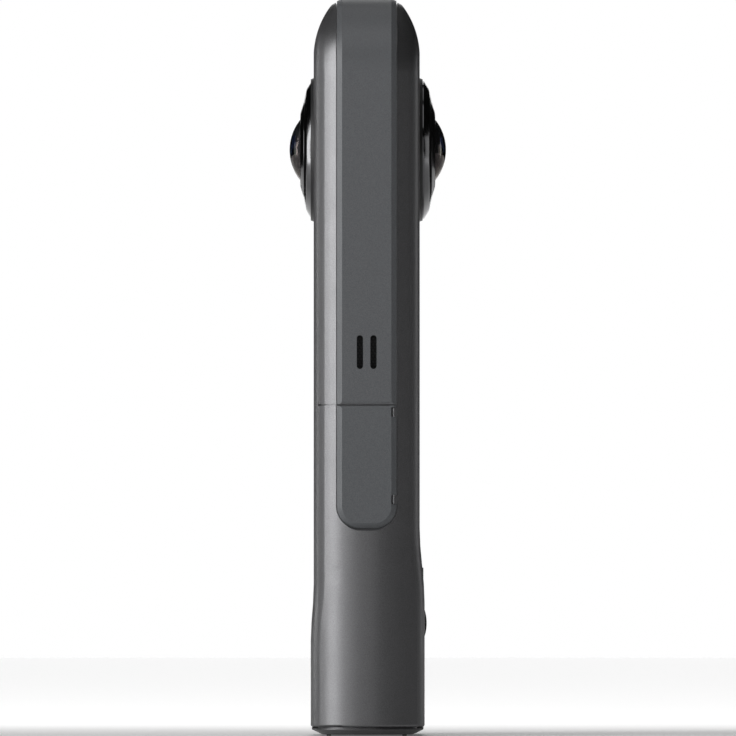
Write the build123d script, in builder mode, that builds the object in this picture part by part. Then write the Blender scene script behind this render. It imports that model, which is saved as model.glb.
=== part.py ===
from build123d import *
from math import atan2, cos, pi, sin, sqrt
import os

os.makedirs("parts", exist_ok=True)

# A slim upright camera with a lens on each broad face. It stands on its base: Z up, the display
# and shutter button face -Y, the port cover and speaker are on the -X side.

# Driving dimensions, in millimetres
body_width = 51.7
body_height = 136.2
body_depth = 19.57
overall_depth = 29.0
side_radius = 13.0
corner_radius = 5.0
top_radius = 14.0
wall = 1.4
trim_width = 11.0
trim_thickness = 1.0
seam_height = 61.3
lens_drop = 27.85

# Swelling of the lower grip
front_swell = 0.92
front_swell_top = 38.5
front_swell_bottom = 24.5
rear_swell = 0.55
rear_swell_top = 28.0
rear_swell_bottom = 17.5
swell_steps = 6

# Casing
crown_radius = 16.0
crown_height_in_side_view = 10.9
crown_margin = 0.02
body_floor = 1.75
floor_thickness = 1.45
foot_edge = 0.4
hollow_margin = 3.05
hollow_foot_radius = 1.5
rear_seam_depth = 9.0
rear_margin = 6.45
rear_foot = 5.5
rear_foot_radius = 2.0
lip_gap = 0.12

# Trim band and the round-ended tongues at its lower ends
trim_sink = 0.6
trim_bevel_width = 0.95
trim_bevel_height = 0.4
trim_gap = 0.15
seam_gap = 0.3
end_bevel_width = 0.45
end_bevel_height = 0.2
tongue_bottom = 38.4
tongue_radius = 4.1
rim_bevel = 0.3
overrun = 2.0

# Port cover, its hinge and the pocket behind it
seal_space = 0.4
seal_thickness = 0.35
seal_width = 0.3
seal_inset = 0.05
hinge_depth = 0.65
hinge_inset = 0.45
hinge_pin_radius = 0.2
hinge_running = 0.03
knuckle_radius = 0.42
knuckle_gap = 0.1
knuckle_length = 1.5
knuckle_low = 42.9
knuckle_high = 59.1
pocket_width = 8.2
pocket_low = 42.0
pocket_high = 58.0
pocket_depth = 3.6
port_frame_wall = 0.9
port_frame_floor = 0.8
groove_width = 0.3
groove_depth = 0.4

# Speaker
slot_length = 6.2
slot_width = 1.15
slot_pitch = 2.5
slot_rise = 9.6
mesh_thickness = 0.2
speaker_length = 14.0
speaker_width = 9.6
speaker_depth = 3.6
speaker_edge = 0.3
speaker_mesh_width = 9.2
speaker_mesh_length = 8.5

# Lens
collar_radius = 13.3
collar_thickness = 0.45
collar_height = 0.57
ring_radius = 12.8
spigot_radius = 12.3
spigot_depth = 2.2
ring_shoulder = 0.82
ring_edge = 0.4
cone_radius = 11.3
cone_rise_share = 0.23
step_radius = 9.0
step_rise_share = 0.57
brow_radius = 6.85
mouth_radius = 5.95
dome_stand = 2.0
lens_shift = 0.2
dome_radius = 9.0
dome_rim_radius = 7.4
dome_rim_depth = 0.4
dome_hollow_radius = 7.6
dome_thickness = 1.6
rim_gap = 0.2
lens_hole_gap = 0.05

# Optics inside
barrel_radius = 8.5
barrel_bore = 6.2
barrel_gap = 0.1
barrel_foot = 4.9
optical_frame_length = 36.0
optical_frame_height = 21.0
optical_frame_gap = 0.05
prism_half = 4.3
prism_height = 5.2
prism_split = 0.1
light_bore = 5.2
relay_radius = 4.5
relay_bore = 3.2
relay_gap = 0.1
relay_start = 5.3
relay_length = 8.0
sensor_board_width = 9.0
sensor_board_height = 13.0
sensor_board_thickness = 0.9
sensor_width = 5.6
sensor_height = 6.6
sensor_thickness = 0.8

# Display
glass_width = 34.0
glass_thickness = 0.8
glass_radius = 3.0
glass_rise = 12.8
glass_drop = 15.0
glass_gap = 0.1
panel_width = 30.4
panel_margin = 1.7
panel_thickness = 1.5
panel_gap = 0.3
link_width = 9.0
link_height = 2.5

# Shutter button
shutter_height = 25.6
bezel_radius = 5.4
bezel_bore = 4.6
bezel_face = 10.5
bezel_seat = 9.3
lip_inner_radius = 4.95
lip_radius = 5.26
lip_drop = 2.64
lip_seat = 10.3
lip_face = 11.1
lip_length = 6.6
lip_margin = 0.5
button_radius = 4.5
button_flange_radius = 4.95
button_face = 10.4
button_back = 8.6
button_running = 0.1
button_crown = 0.25
seat_gap = 0.05
switch_size = 4.5
switch_height = 1.6
switch_travel_gap = 0.5
shutter_board_width = 12.0
shutter_board_height = 9.0
shutter_board_thickness = 0.8

# Status lamp
lamp_rise = 9.0
lamp_radius = 0.7
lamp_length = 2.4
lamp_face = 9.86
lamp_gap = 0.05

# Side buttons
power_drop = 20.4
power_length = 9.0
mode_drop = 34.4
mode_length = 6.4
key_width = 3.2
key_gap = 0.12
key_proud = 0.2
key_flange = 0.7
key_flange_thickness = 0.6
key_edge = 0.15
key_back_gap = 0.05
key_travel_gap = 0.45
tact_size = 3.0
tact_height = 0.8
side_board_width = 4.4
side_board_margin = 8.0
side_board_over = 4.8
side_board_thickness = 0.8
side_post_radius = 1.2
side_post_inset = 2.2

# Inner frame, boards and battery
frame_front = 4.0
frame_thickness = 1.0
frame_low = 8.0
frame_left_gap = 5.2
frame_right_gap = 3.0
ear_gap = 2.4
ear_height = 3.8
ear_width = 6.0
post_radius = 1.8
post_side_gap = 4.4
post_low = 7.6
post_drop = 13.4
post_bore = 0.6
screw_radius = 0.6
screw_head_radius = 1.2
screw_head_height = 0.5
screw_length = 3.2
boss_radius = 1.5
boss_inset = 2.1
boss_margin = 2.5
main_board_gap = 6.3
main_board_rise = 4.4
main_board_drop = 16.9
main_board_back = 5.8
board_thickness = 0.8
can_thickness = 1.4
can_width = 23.0
can_margin = 7.0
can_split = 2.5
spreader_width = 22.0
spreader_margin = 8.5
battery_width = 29.2
battery_thickness = 9.6
battery_left = 10.2
battery_low = 9.8
battery_high = 61.0
battery_radius = 2.0
rim_thickness = 0.7
rim_height = 3.0
pad_width = 22.0
pad_height = 6.0
pad_gap = 0.05

# Sockets
usb_length = 7.2
usb_width = 8.94
usb_height = 3.2
usb_mouth_width = 8.34
usb_mouth_height = 2.56
usb_mouth_depth = 5.6
usb_tongue_width = 6.7
usb_tongue_height = 0.7
usb_tongue_length = 4.2
usb_centre = 1.0
card_width = 12.4
card_height = 1.5
card_length = 7.0
card_slot_width = 11.2
card_slot_height = 0.8
card_slot_depth = 6.0
card_centre = 2.15
port_board_length = 7.2
port_board_width = 14.0
socket_gap = 0.05

# Base
base_top_gap = 0.3
base_bottom = 0.3
base_inset = 0.2
base_edge = 0.2
base_taper = 2.0
base_neck_inset = 1.4
foot_width = 0.8
foot_length = 26.0
foot_spacing = 14.0
bush_radius = 4.3
bush_flange_radius = 6.0
bush_flange_thickness = 1.2
bush_top = 7.4
bush_gap = 0.05
tripod_radius = 2.55
tripod_depth = 6.0
tripod_lead = 0.4
base_screw_inset = 8.35
base_screw_y = 4.6
base_screw_radius = 0.8
base_screw_head = 1.7
base_screw_head_height = 0.6
base_screw_length = 3.6
base_boss_radius = 2.0
base_boss_height = 2.2

# Microphones and antenna under the top wall
mic_x = 9.0
mic_hole_radius = 0.45
mic_length = 3.6
mic_width = 2.6
mic_height = 1.0
antenna_length = 23.0
antenna_width = 3.6
antenna_thickness = 0.4
antenna_offset = 3.6

# Places worked out from the sizes above
half_width = body_width / 2
half_depth = body_depth / 2
crown_height = body_height + trim_sink
bend_x = half_width - top_radius
bend_z = crown_height - top_radius
side_x = half_width - side_radius
trim_face = half_width - trim_sink
trim_back = trim_face - trim_thickness
port_floor = trim_back - seal_space
hollow_half = half_width - hollow_margin
hollow_floor = body_floor + floor_thickness
hollow_top = crown_height - hollow_margin
inner_face = half_depth - wall
base_top = body_floor - base_top_gap
crown_start = body_height - crown_height_in_side_view
lens_height = body_height - lens_drop
hinge_x = trim_face - hinge_depth
hinge_y = trim_width / 2 - hinge_inset
bevel_slope = trim_bevel_height / trim_bevel_width
pocket_height = pocket_high - pocket_low
pocket_centre = (pocket_high + pocket_low) / 2
pocket_floor = hollow_half - pocket_depth
slot_height = seam_height + slot_rise
lamp_height = shutter_height + lamp_rise
glass_bottom = shutter_height + glass_rise
glass_length = lens_height - glass_drop - glass_bottom
panel_length = glass_length - 2 * panel_margin
power_height = lens_height - power_drop
mode_height = lens_height - mode_drop
side_board_low = mode_height - mode_length / 2 - side_board_margin
side_board_high = power_height + power_length / 2 + side_board_over
frame_left = hollow_half - frame_left_gap
frame_right = hollow_half - frame_right_gap
ear_reach = hollow_half - ear_gap
post_x = hollow_half - post_side_gap
post_high = lens_height - post_drop
main_board_half = hollow_half - main_board_gap
main_board_low = shutter_height + shutter_board_height / 2 + main_board_rise
main_board_high = lens_height - main_board_drop
boss_x = main_board_half - boss_inset
boss_low = main_board_low + boss_margin
boss_high = main_board_high - boss_margin
can_length = (main_board_high - main_board_low - 2 * can_margin - can_split) / 2
base_screw_x = half_width - base_screw_inset
frame_back = frame_front - frame_thickness
frame_high = lens_height - optical_frame_height / 2
battery_back = battery_thickness - frame_back


def left_side(distance):
    """Plane on the -X side, facing out, with height as its second axis."""
    return Plane(origin=(-distance, 0, 0), x_dir=(0, -1, 0), z_dir=(-1, 0, 0))


def right_side(distance):
    """Plane on the +X side, facing out, with height as its second axis."""
    return Plane(origin=(distance, 0, 0), x_dir=(0, 1, 0), z_dir=(1, 0, 0))


def front_side(distance):
    """Plane facing -Y, with height as its second axis."""
    return Plane(origin=(0, -distance, 0), x_dir=(1, 0, 0), z_dir=(0, -1, 0))


def rear_side(distance):
    """Plane facing +Y, with height as its second axis."""
    return Plane(origin=(0, distance, 0), x_dir=(-1, 0, 0), z_dir=(0, 1, 0))


def corner_points(face, inset):
    """Start, middle and end of one corner arc of the plan outline, from the flat face to the side."""
    rise = face - corner_radius
    run = sqrt((side_radius - corner_radius) ** 2 - rise**2)
    radius = corner_radius - inset
    turn = atan2(run, rise)
    return [
        (side_x + run + radius * sin(angle), rise + radius * cos(angle))
        for angle in (0, turn / 2, turn)
    ]


def side_points(front, rear, inset):
    """Points of the plan outline on the +X side, from the front face round to the rear face."""
    near = [(x, -y) for x, y in corner_points(front, inset)]
    far = corner_points(rear, inset)[::-1]
    return near + [(half_width - inset, 0)] + far


def side_arcs(points):
    """A corner arc, the side arc and the other corner arc, each tangent to the next."""
    for start in (0, 2, 4):
        ThreePointArc(*points[start : start + 3])


def plan_outline(height, front, rear, inset=0.0):
    """The whole outline in plan at one height."""
    points = side_points(front, rear, inset)
    mirrored = [(-x, y) for x, y in points]
    with BuildSketch(Plane.XY.offset(height)) as outline:
        with BuildLine():
            side_arcs(points)
            side_arcs(mirrored)
            Line(points[0], mirrored[0])
            Line(points[-1], mirrored[-1])
        make_face()
    return outline.sketch


def edge_outline(plane, inset):
    """The rounded side edge of the outline, from the centre of the top bend outwards."""
    points = side_points(half_depth, half_depth, inset)
    with BuildSketch(plane) as outline:
        with BuildLine():
            side_arcs(points)
            Polyline(points[-1], (bend_x, points[-1][1]), (bend_x, points[0][1]), points[0])
        make_face()
    return outline.sketch


def swell(height, top, bottom, amount):
    """How far a face stands out at this height, with a smooth start and end."""
    reach = min(max((top - height) / (top - bottom), 0), 1)
    return amount * (1 - cos(pi * reach)) / 2


def front_depth(height):
    return half_depth + swell(height, front_swell_top, front_swell_bottom, front_swell)


def rear_depth(height):
    return half_depth + swell(height, rear_swell_top, rear_swell_bottom, rear_swell)


def upper_form(inset, bottom):
    """The casing's straight sides and rounded top, inset from its outside."""
    top_plane = Plane(origin=(bend_x, 0, bend_z - bend_x), x_dir=(0, 0, 1), z_dir=(-1, 0, 0))
    with BuildPart() as form:
        extrude(plan_outline(bottom, half_depth, half_depth, inset), amount=bend_z - bottom)
        extrude(edge_outline(top_plane, inset), amount=2 * bend_x)
        corner_axis = Axis((bend_x, 0, bend_z), (0, -1, 0))
        revolve(edge_outline(Plane.XY.offset(bend_z), inset), axis=corner_axis, revolution_arc=90)
        mirror(about=Plane.YZ)
    return form.part


def crown_waste(inset):
    """What the large side-view arcs take off the top edges, beyond the shape of the bends."""
    arc_centre = half_depth + crown_margin - crown_radius
    with BuildSketch() as kept:
        with Locations((arc_centre, crown_start)):
            Circle(crown_radius - inset)
        with Locations((-arc_centre, crown_start)):
            Circle(crown_radius - inset, mode=Mode.INTERSECT)
    with BuildPart() as waste:
        with BuildSketch(Plane.YZ):
            with Locations((0, crown_start + crown_radius / 2)):
                Rectangle(2 * body_depth, crown_radius)
            add(kept.sketch, mode=Mode.SUBTRACT)
        extrude(amount=body_width, both=True)
    return waste.part


def casing_form(inset=0.0):
    """The whole outside of the casing, with the swelling of the lower grip."""
    step = (front_swell_top - rear_swell_bottom) / swell_steps
    levels = [front_swell_top - step * count for count in range(swell_steps + 1)]
    with BuildPart() as form:
        add(upper_form(inset, front_swell_top))
        loft([plan_outline(z, front_depth(z), rear_depth(z), inset) for z in levels], ruled=True)
        foot = plan_outline(body_floor, front_depth(body_floor), rear_depth(body_floor), inset)
        extrude(foot, amount=rear_swell_bottom - body_floor)
        add(crown_waste(inset), mode=Mode.SUBTRACT)
    return form.part


def front_view(plane, margin, bottom, foot_radius):
    """The casing's outline as seen from the front, inset by a margin."""
    half = half_width - margin
    top = crown_height - margin
    with BuildSketch(plane) as view:
        with Locations((0, (top + bottom) / 2)):
            Rectangle(2 * half, top - bottom)
        fillet(view.vertices().group_by(Axis.Y)[-1], radius=top_radius - margin)
        fillet(view.vertices().group_by(Axis.Y)[0], radius=foot_radius)
    return view.sketch


def tongue_outline(plane, top, inset=0.0):
    """Round-ended outline of the strip's lower end, from its bottom up to a straight top edge."""
    bottom = tongue_bottom + inset
    with BuildSketch(plane) as outline:
        with Locations((0, (top + bottom) / 2)):
            Rectangle(trim_width - 2 * inset, top - bottom)
        fillet(outline.vertices().group_by(Axis.Y)[0], radius=tongue_radius - inset)
    return outline.sketch


def tongue(side, top):
    """Plate with the tongue's outline and a bevelled outer edge."""
    edge_level = trim_face - trim_bevel_height
    with BuildPart() as plate:
        extrude(tongue_outline(side(trim_back), top), amount=edge_level - trim_back)
        lower = tongue_outline(side(edge_level), top)
        upper = tongue_outline(side(trim_face), top, trim_bevel_width)
        loft([lower, upper], ruled=True)
    return plate.part


def bevel_face(offset):
    """Distance of the bevelled face from the middle plane, this far off the strip's centre line."""
    return trim_face - (offset - trim_width / 2 + trim_bevel_width) * bevel_slope


def end_bevel(edge, towards):
    """Wedge that bevels the strip's square end on the -X side, upwards or downwards from its edge."""
    with BuildPart() as wedge:
        with BuildSketch(Plane.XZ):
            with BuildLine():
                Polyline(
                    (-trim_face - end_bevel_height, edge + 2 * towards * end_bevel_width),
                    (-trim_face + 2 * end_bevel_height, edge - towards * end_bevel_width),
                    (-trim_face - end_bevel_height, edge - towards * end_bevel_width),
                    close=True,
                )
            make_face()
        extrude(amount=trim_width, both=True)
    return wedge.part


def strip_route(distance):
    """The way round the casing at a distance from its middle plane: up, over the top and down."""
    top = crown_height - (half_width - distance)
    with BuildLine(Plane.XZ) as route:
        corners = [(-distance, seam_height), (-distance, top), (distance, top), (distance, seam_height)]
        FilletPolyline(*corners, radius=distance - bend_x)
    return route.line


route_start = Plane(origin=(-trim_back, 0, seam_height), x_dir=(0, 1, 0), z_dir=(0, 0, 1))


# Hollow of the casing
with BuildPart() as hollow:
    add(upper_form(wall, hollow_floor))
    add(crown_waste(wall), mode=Mode.SUBTRACT)
    limit = front_view(front_side(0), hollow_margin, hollow_floor, hollow_foot_radius)
    extrude(limit, amount=body_depth, both=True, mode=Mode.INTERSECT)

# Channel for the trim band, sunk into the casing all the way round
with BuildPart() as channel:
    with BuildSketch(route_start):
        with Locations((0, (trim_thickness + overrun) / 2)):
            Rectangle(trim_width + 2 * trim_gap, trim_thickness + overrun)
    sweep(path=strip_route(trim_back))
    for side, bed in ((left_side, port_floor), (right_side, trim_back)):
        extrude(tongue_outline(side(bed), seam_height, -trim_gap), amount=half_width + overrun - bed)

# Bevel of the casing's rim round the lower end of the channel
with BuildPart() as channel_rim:
    for side in (left_side, right_side):
        inner = tongue_outline(side(half_width - trim_sink), seam_height, -trim_gap)
        outer = tongue_outline(side(half_width), seam_height, -trim_gap - rim_bevel)
        loft([inner, outer], ruled=True)

# Fine groove in the casing from the cross seam to the rear seam, for a fingernail
with BuildPart() as nail_groove:
    add(upper_form(0.0, front_swell_top))
    add(upper_form(groove_depth, front_swell_top), mode=Mode.SUBTRACT)
    with BuildSketch(left_side(0)):
        with Locations((-(trim_width / 2 + rear_seam_depth) / 2, seam_height - seam_gap / 2)):
            Rectangle(rear_seam_depth - trim_width / 2, groove_width)
    extrude(amount=half_width + overrun, mode=Mode.INTERSECT)

# Main body: front, sides, top and bottom of the casing in one shell
with BuildPart() as main_body:
    add(casing_form())
    fillet(main_body.edges().group_by(Axis.Z)[0], radius=foot_edge)
    add(hollow.part, mode=Mode.SUBTRACT)
    add(channel.part, mode=Mode.SUBTRACT)
    add(channel_rim.part, mode=Mode.SUBTRACT)
    add(nail_groove.part, mode=Mode.SUBTRACT)

    # Everything behind the rear seam belongs to the rear cover
    with BuildSketch(rear_side(rear_seam_depth)):
        Rectangle(2 * body_width, 2 * (body_height + overrun))
    extrude(amount=body_depth, mode=Mode.SUBTRACT)
    opening = front_view(rear_side(inner_face - overrun), rear_margin, rear_foot, rear_foot_radius)
    extrude(opening, amount=rear_seam_depth - inner_face + 2 * overrun, mode=Mode.SUBTRACT)

    # Lens hole in the front face
    with BuildSketch(front_side(0)):
        with Locations((0, lens_height)):
            Circle(spigot_radius + lens_hole_gap)
    extrude(amount=body_depth, mode=Mode.SUBTRACT)

    # Bed for the display glass, and the window behind it
    glass_centre = glass_bottom + glass_length / 2
    with BuildSketch(front_side(half_depth - glass_thickness)):
        with Locations((0, glass_centre)):
            RectangleRounded(glass_width + 2 * glass_gap, glass_length + 2 * glass_gap, glass_radius)
    extrude(amount=glass_thickness + overrun, mode=Mode.SUBTRACT)
    with BuildSketch(front_side(inner_face - overrun)):
        with Locations((0, glass_centre)):
            Rectangle(panel_width + 2 * panel_gap, panel_length + 2 * panel_gap)
    extrude(amount=wall + overrun, mode=Mode.SUBTRACT)

    # Stepped hole for the shutter button, and the shallow bed of its bezel
    with BuildSketch(front_side(inner_face - overrun)):
        with Locations((0, shutter_height)):
            Circle(button_flange_radius + button_running)
    extrude(amount=2 * wall + 2 * overrun, mode=Mode.SUBTRACT)
    with BuildSketch(front_side(bezel_seat)):
        with Locations((0, shutter_height)):
            Circle(bezel_radius + seat_gap)
    extrude(amount=wall + overrun, mode=Mode.SUBTRACT)
    with BuildSketch(front_side(lip_seat)):
        with Locations((0, shutter_height - lip_drop)):
            Circle(lip_radius + seat_gap)
    extrude(amount=overrun, mode=Mode.SUBTRACT)

    # Hole for the status lamp
    with BuildSketch(front_side(inner_face - overrun)):
        with Locations((0, lamp_height)):
            Circle(lamp_radius + lamp_gap)
    extrude(amount=wall + 2 * overrun, mode=Mode.SUBTRACT)

    # Port hole and speaker slots through the left wall
    with BuildSketch(left_side(hollow_half - overrun)):
        with Locations((0, pocket_centre)):
            Rectangle(pocket_width, pocket_height)
        with Locations((-slot_pitch / 2, slot_height), (slot_pitch / 2, slot_height)):
            SlotOverall(slot_length, slot_width, rotation=90)
    extrude(amount=hollow_margin + 2 * overrun, mode=Mode.SUBTRACT)

    # Knuckles that carry the hinge pin of the port cover, their tops in line with its bevel
    channel_edge = trim_width / 2 + trim_gap
    for low in (knuckle_low, knuckle_high):
        with BuildSketch(Plane.XY.offset(low)):
            with BuildLine():
                Polyline(
                    (-port_floor + trim_gap, -hinge_y + knuckle_radius),
                    (-port_floor + trim_gap, -channel_edge),
                    (-bevel_face(channel_edge), -channel_edge),
                    (-bevel_face(hinge_y), -hinge_y),
                    (-hinge_x, -hinge_y + knuckle_radius),
                    close=True,
                )
            make_face()
            with Locations((-hinge_x, -hinge_y)):
                Circle(knuckle_radius)
                Circle(hinge_pin_radius, mode=Mode.SUBTRACT)
        extrude(amount=knuckle_length)

    # Key holes through the right wall
    with BuildSketch(right_side(hollow_half - overrun)):
        for height, length in ((power_height, power_length), (mode_height, mode_length)):
            with Locations((0, height)):
                SlotOverall(length + 2 * key_gap, key_width + 2 * key_gap, rotation=90)
    extrude(amount=hollow_margin + 2 * overrun, mode=Mode.SUBTRACT)

    # Posts for the inner frame on the front wall, and for the switch board on the right wall
    with BuildSketch(front_side(frame_front)):
        with Locations(*[(x, z) for x in (-post_x, post_x) for z in (post_low, post_high)]):
            Circle(post_radius)
            Circle(post_bore, mode=Mode.SUBTRACT)
    extrude(amount=inner_face - frame_front + wall / 2)
    side_board_outer = hollow_half - key_flange_thickness - key_back_gap - key_travel_gap - tact_height
    with BuildSketch(right_side(side_board_outer)):
        post_heights = (side_board_low + side_post_inset, side_board_high - side_post_inset)
        with Locations(*[(0, height) for height in post_heights]):
            Circle(side_post_radius)
    extrude(amount=hollow_half - side_board_outer + wall / 2)

    # Tripod bush hole, screw bosses and screw holes in the bottom wall
    with BuildSketch(Plane.XY.offset(hollow_floor - floor_thickness / 2)):
        with GridLocations(2 * base_screw_x, 2 * base_screw_y, 2, 2):
            Circle(base_boss_radius)
    extrude(amount=floor_thickness / 2 + base_boss_height)
    with BuildSketch(Plane.XY.offset(body_floor - overrun)):
        Circle(bush_radius + bush_gap)
        with GridLocations(2 * base_screw_x, 2 * base_screw_y, 2, 2):
            Circle(base_screw_radius)
    extrude(amount=overrun + floor_thickness + base_boss_height, mode=Mode.SUBTRACT)

    # Microphone holes through the top wall
    with BuildSketch(Plane.XY.offset(hollow_top - overrun)):
        with Locations((-mic_x, 0), (mic_x, 0)):
            Circle(mic_hole_radius)
    extrude(amount=hollow_margin + overrun, mode=Mode.SUBTRACT)
main_body.part.label = "main_body"
export_step(main_body.part, "parts/main_body.step")

# Rear cover with the locating lip on its inside
with BuildPart() as rear_cover:
    add(casing_form())
    fillet(rear_cover.edges().group_by(Axis.Z)[0], radius=foot_edge)
    with BuildSketch(rear_side(rear_seam_depth)):
        Rectangle(2 * body_width, 2 * (body_height + overrun))
    extrude(amount=body_depth, mode=Mode.INTERSECT)
    lip = front_view(rear_side(inner_face), rear_margin + lip_gap, rear_foot + lip_gap, rear_foot_radius)
    extrude(lip, amount=rear_seam_depth - inner_face)
    with BuildSketch(rear_side(0)):
        with Locations((0, lens_height)):
            Circle(spigot_radius + lens_hole_gap)
    extrude(amount=body_depth, mode=Mode.SUBTRACT)
rear_cover.part.label = "rear_cover"
export_step(rear_cover.part, "parts/rear_cover.step")

# Trim band: a flat strip with bevelled edges, bent over the top of the casing
with BuildPart() as trim_band:
    with BuildSketch(route_start):
        with BuildLine():
            half = trim_width / 2
            bevel_start = trim_thickness - trim_bevel_height
            Polyline(
                (-half, 0),
                (half, 0),
                (half, bevel_start),
                (half - trim_bevel_width, trim_thickness),
                (-half + trim_bevel_width, trim_thickness),
                (-half, bevel_start),
                close=True,
            )
        make_face()
    sweep(path=strip_route(trim_back))
    add(end_bevel(seam_height, 1), mode=Mode.SUBTRACT)
    add(tongue(right_side, seam_height))
    with BuildSketch(left_side(trim_back)):
        with Locations((-slot_pitch / 2, slot_height), (slot_pitch / 2, slot_height)):
            SlotOverall(slot_length, slot_width, rotation=90)
    extrude(amount=trim_thickness, mode=Mode.SUBTRACT)
    with BuildSketch(right_side(trim_back)):
        for height, length in ((power_height, power_length), (mode_height, mode_length)):
            with Locations((0, height)):
                SlotOverall(length + 2 * key_gap, key_width + 2 * key_gap, rotation=90)
    extrude(amount=trim_thickness, mode=Mode.SUBTRACT)
    with BuildSketch(Plane.XY.offset(body_height - trim_thickness)):
        with Locations((-mic_x, 0), (mic_x, 0)):
            Circle(mic_hole_radius)
    extrude(amount=trim_thickness, mode=Mode.SUBTRACT)
trim_band.part.label = "trim_band"
export_step(trim_band.part, "parts/trim_band.step")

# Port cover: the round-ended plate, bored along its front edge for the pin and notched for the knuckles
with BuildPart() as port_cover:
    add(tongue(left_side, seam_height - seam_gap))
    add(end_bevel(seam_height - seam_gap, -1), mode=Mode.SUBTRACT)
    notch_depth = trim_width / 2 - hinge_y + knuckle_radius + knuckle_gap
    with BuildSketch(left_side(trim_back)):
        for low in (knuckle_low, knuckle_high):
            with Locations((trim_width / 2, low + knuckle_length / 2)):
                Rectangle(2 * notch_depth, knuckle_length + 2 * knuckle_gap)
    extrude(amount=trim_thickness, mode=Mode.SUBTRACT)
    with BuildSketch(Plane.XY.offset(knuckle_low)):
        with Locations((-hinge_x, -hinge_y)):
            Circle(hinge_pin_radius + hinge_running)
    extrude(amount=knuckle_high + knuckle_length - knuckle_low, mode=Mode.SUBTRACT)
port_cover.part.label = "port_cover"
export_step(port_cover.part, "parts/port_cover.step")

# Hinge pin of the port cover, held in the two knuckles of the main body
with BuildPart() as port_cover_pin:
    with BuildSketch(Plane.XY.offset(knuckle_low)):
        with Locations((-hinge_x, -hinge_y)):
            Circle(hinge_pin_radius)
    extrude(amount=knuckle_high + knuckle_length - knuckle_low)
port_cover_pin.part.label = "port_cover_pin"
export_step(port_cover_pin.part, "parts/port_cover_pin.step")

# Seal round the mouth of the port pocket
with BuildPart() as port_seal:
    with BuildSketch(left_side(port_floor)):
        with Locations((0, pocket_centre)):
            grown = 2 * (seal_inset + seal_width)
            Rectangle(pocket_width + grown, pocket_height + grown)
            Rectangle(pocket_width + 2 * seal_inset, pocket_height + 2 * seal_inset, mode=Mode.SUBTRACT)
    extrude(amount=seal_thickness)
port_seal.part.label = "port_seal"
export_step(port_seal.part, "parts/port_seal.step")

# Port frame: the moulded pocket behind the cover, with the mouths of both sockets in its floor
with BuildPart() as port_frame:
    with BuildSketch(left_side(pocket_floor - port_frame_floor)):
        with Locations((0, pocket_centre)):
            Rectangle(pocket_width + 2 * port_frame_wall, pocket_height + 2 * port_frame_wall)
    extrude(amount=hollow_half - pocket_floor + port_frame_floor)
    with BuildSketch(left_side(pocket_floor)):
        with Locations((0, pocket_centre)):
            Rectangle(pocket_width, pocket_height)
    extrude(amount=hollow_half - pocket_floor, mode=Mode.SUBTRACT)
    with BuildSketch(left_side(pocket_floor - port_frame_floor)):
        with Locations((-usb_centre, pocket_centre)):
            SlotOverall(usb_mouth_width, usb_mouth_height, rotation=90)
        with Locations((card_centre, pocket_centre)):
            Rectangle(card_slot_height, card_slot_width)
    extrude(amount=port_frame_floor, mode=Mode.SUBTRACT)
port_frame.part.label = "port_frame"
export_step(port_frame.part, "parts/port_frame.step")

# Sockets behind the port frame, one on each side of the port board
socket_face = pocket_floor - port_frame_floor - socket_gap
with BuildPart() as usb_socket:
    with BuildSketch(left_side(socket_face - usb_length)):
        with Locations((-usb_centre, pocket_centre)):
            SlotOverall(usb_width, usb_height, rotation=90)
    extrude(amount=usb_length)
    with BuildSketch(left_side(socket_face - usb_mouth_depth)):
        with Locations((-usb_centre, pocket_centre)):
            SlotOverall(usb_mouth_width, usb_mouth_height, rotation=90)
    extrude(amount=usb_mouth_depth, mode=Mode.SUBTRACT)
    with BuildSketch(left_side(socket_face - usb_mouth_depth)):
        with Locations((-usb_centre, pocket_centre)):
            Rectangle(usb_tongue_height, usb_tongue_width)
    extrude(amount=usb_tongue_length)
usb_socket.part.label = "usb_socket"
export_step(usb_socket.part, "parts/usb_socket.step")

with BuildPart() as card_socket:
    with BuildSketch(left_side(socket_face - card_length)):
        with Locations((card_centre, pocket_centre)):
            Rectangle(card_height, card_width)
    extrude(amount=card_length)
    with BuildSketch(left_side(socket_face - card_slot_depth)):
        with Locations((card_centre, pocket_centre)):
            Rectangle(card_slot_height, card_slot_width)
    extrude(amount=card_slot_depth, mode=Mode.SUBTRACT)
card_socket.part.label = "card_socket"
export_step(card_socket.part, "parts/card_socket.step")

port_board_front = card_centre - card_height / 2
with BuildPart() as port_board:
    with BuildSketch(left_side(socket_face - port_board_length)):
        with Locations(((port_board_front + usb_height / 2 - usb_centre) / 2, pocket_centre)):
            Rectangle(port_board_front - usb_height / 2 + usb_centre, port_board_width)
    extrude(amount=port_board_length)
port_board.part.label = "port_board"
export_step(port_board.part, "parts/port_board.step")

# Speaker behind the slots, with a mesh between it and the trim band
with BuildPart() as speaker_mesh:
    with BuildSketch(left_side(hollow_half - mesh_thickness)):
        with Locations((0, slot_height)):
            Rectangle(speaker_mesh_width, speaker_mesh_length)
    extrude(amount=mesh_thickness)
speaker_mesh.part.label = "speaker_mesh"
export_step(speaker_mesh.part, "parts/speaker_mesh.step")

with BuildPart() as speaker_unit:
    with BuildSketch(left_side(hollow_half - mesh_thickness - speaker_depth)):
        with Locations((0, slot_height)):
            Rectangle(speaker_width, speaker_length)
    extrude(amount=speaker_depth)
    fillet(speaker_unit.edges().filter_by(Axis.X), radius=speaker_edge)
speaker_unit.part.label = "speaker_unit"
export_step(speaker_unit.part, "parts/speaker_unit.step")

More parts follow.
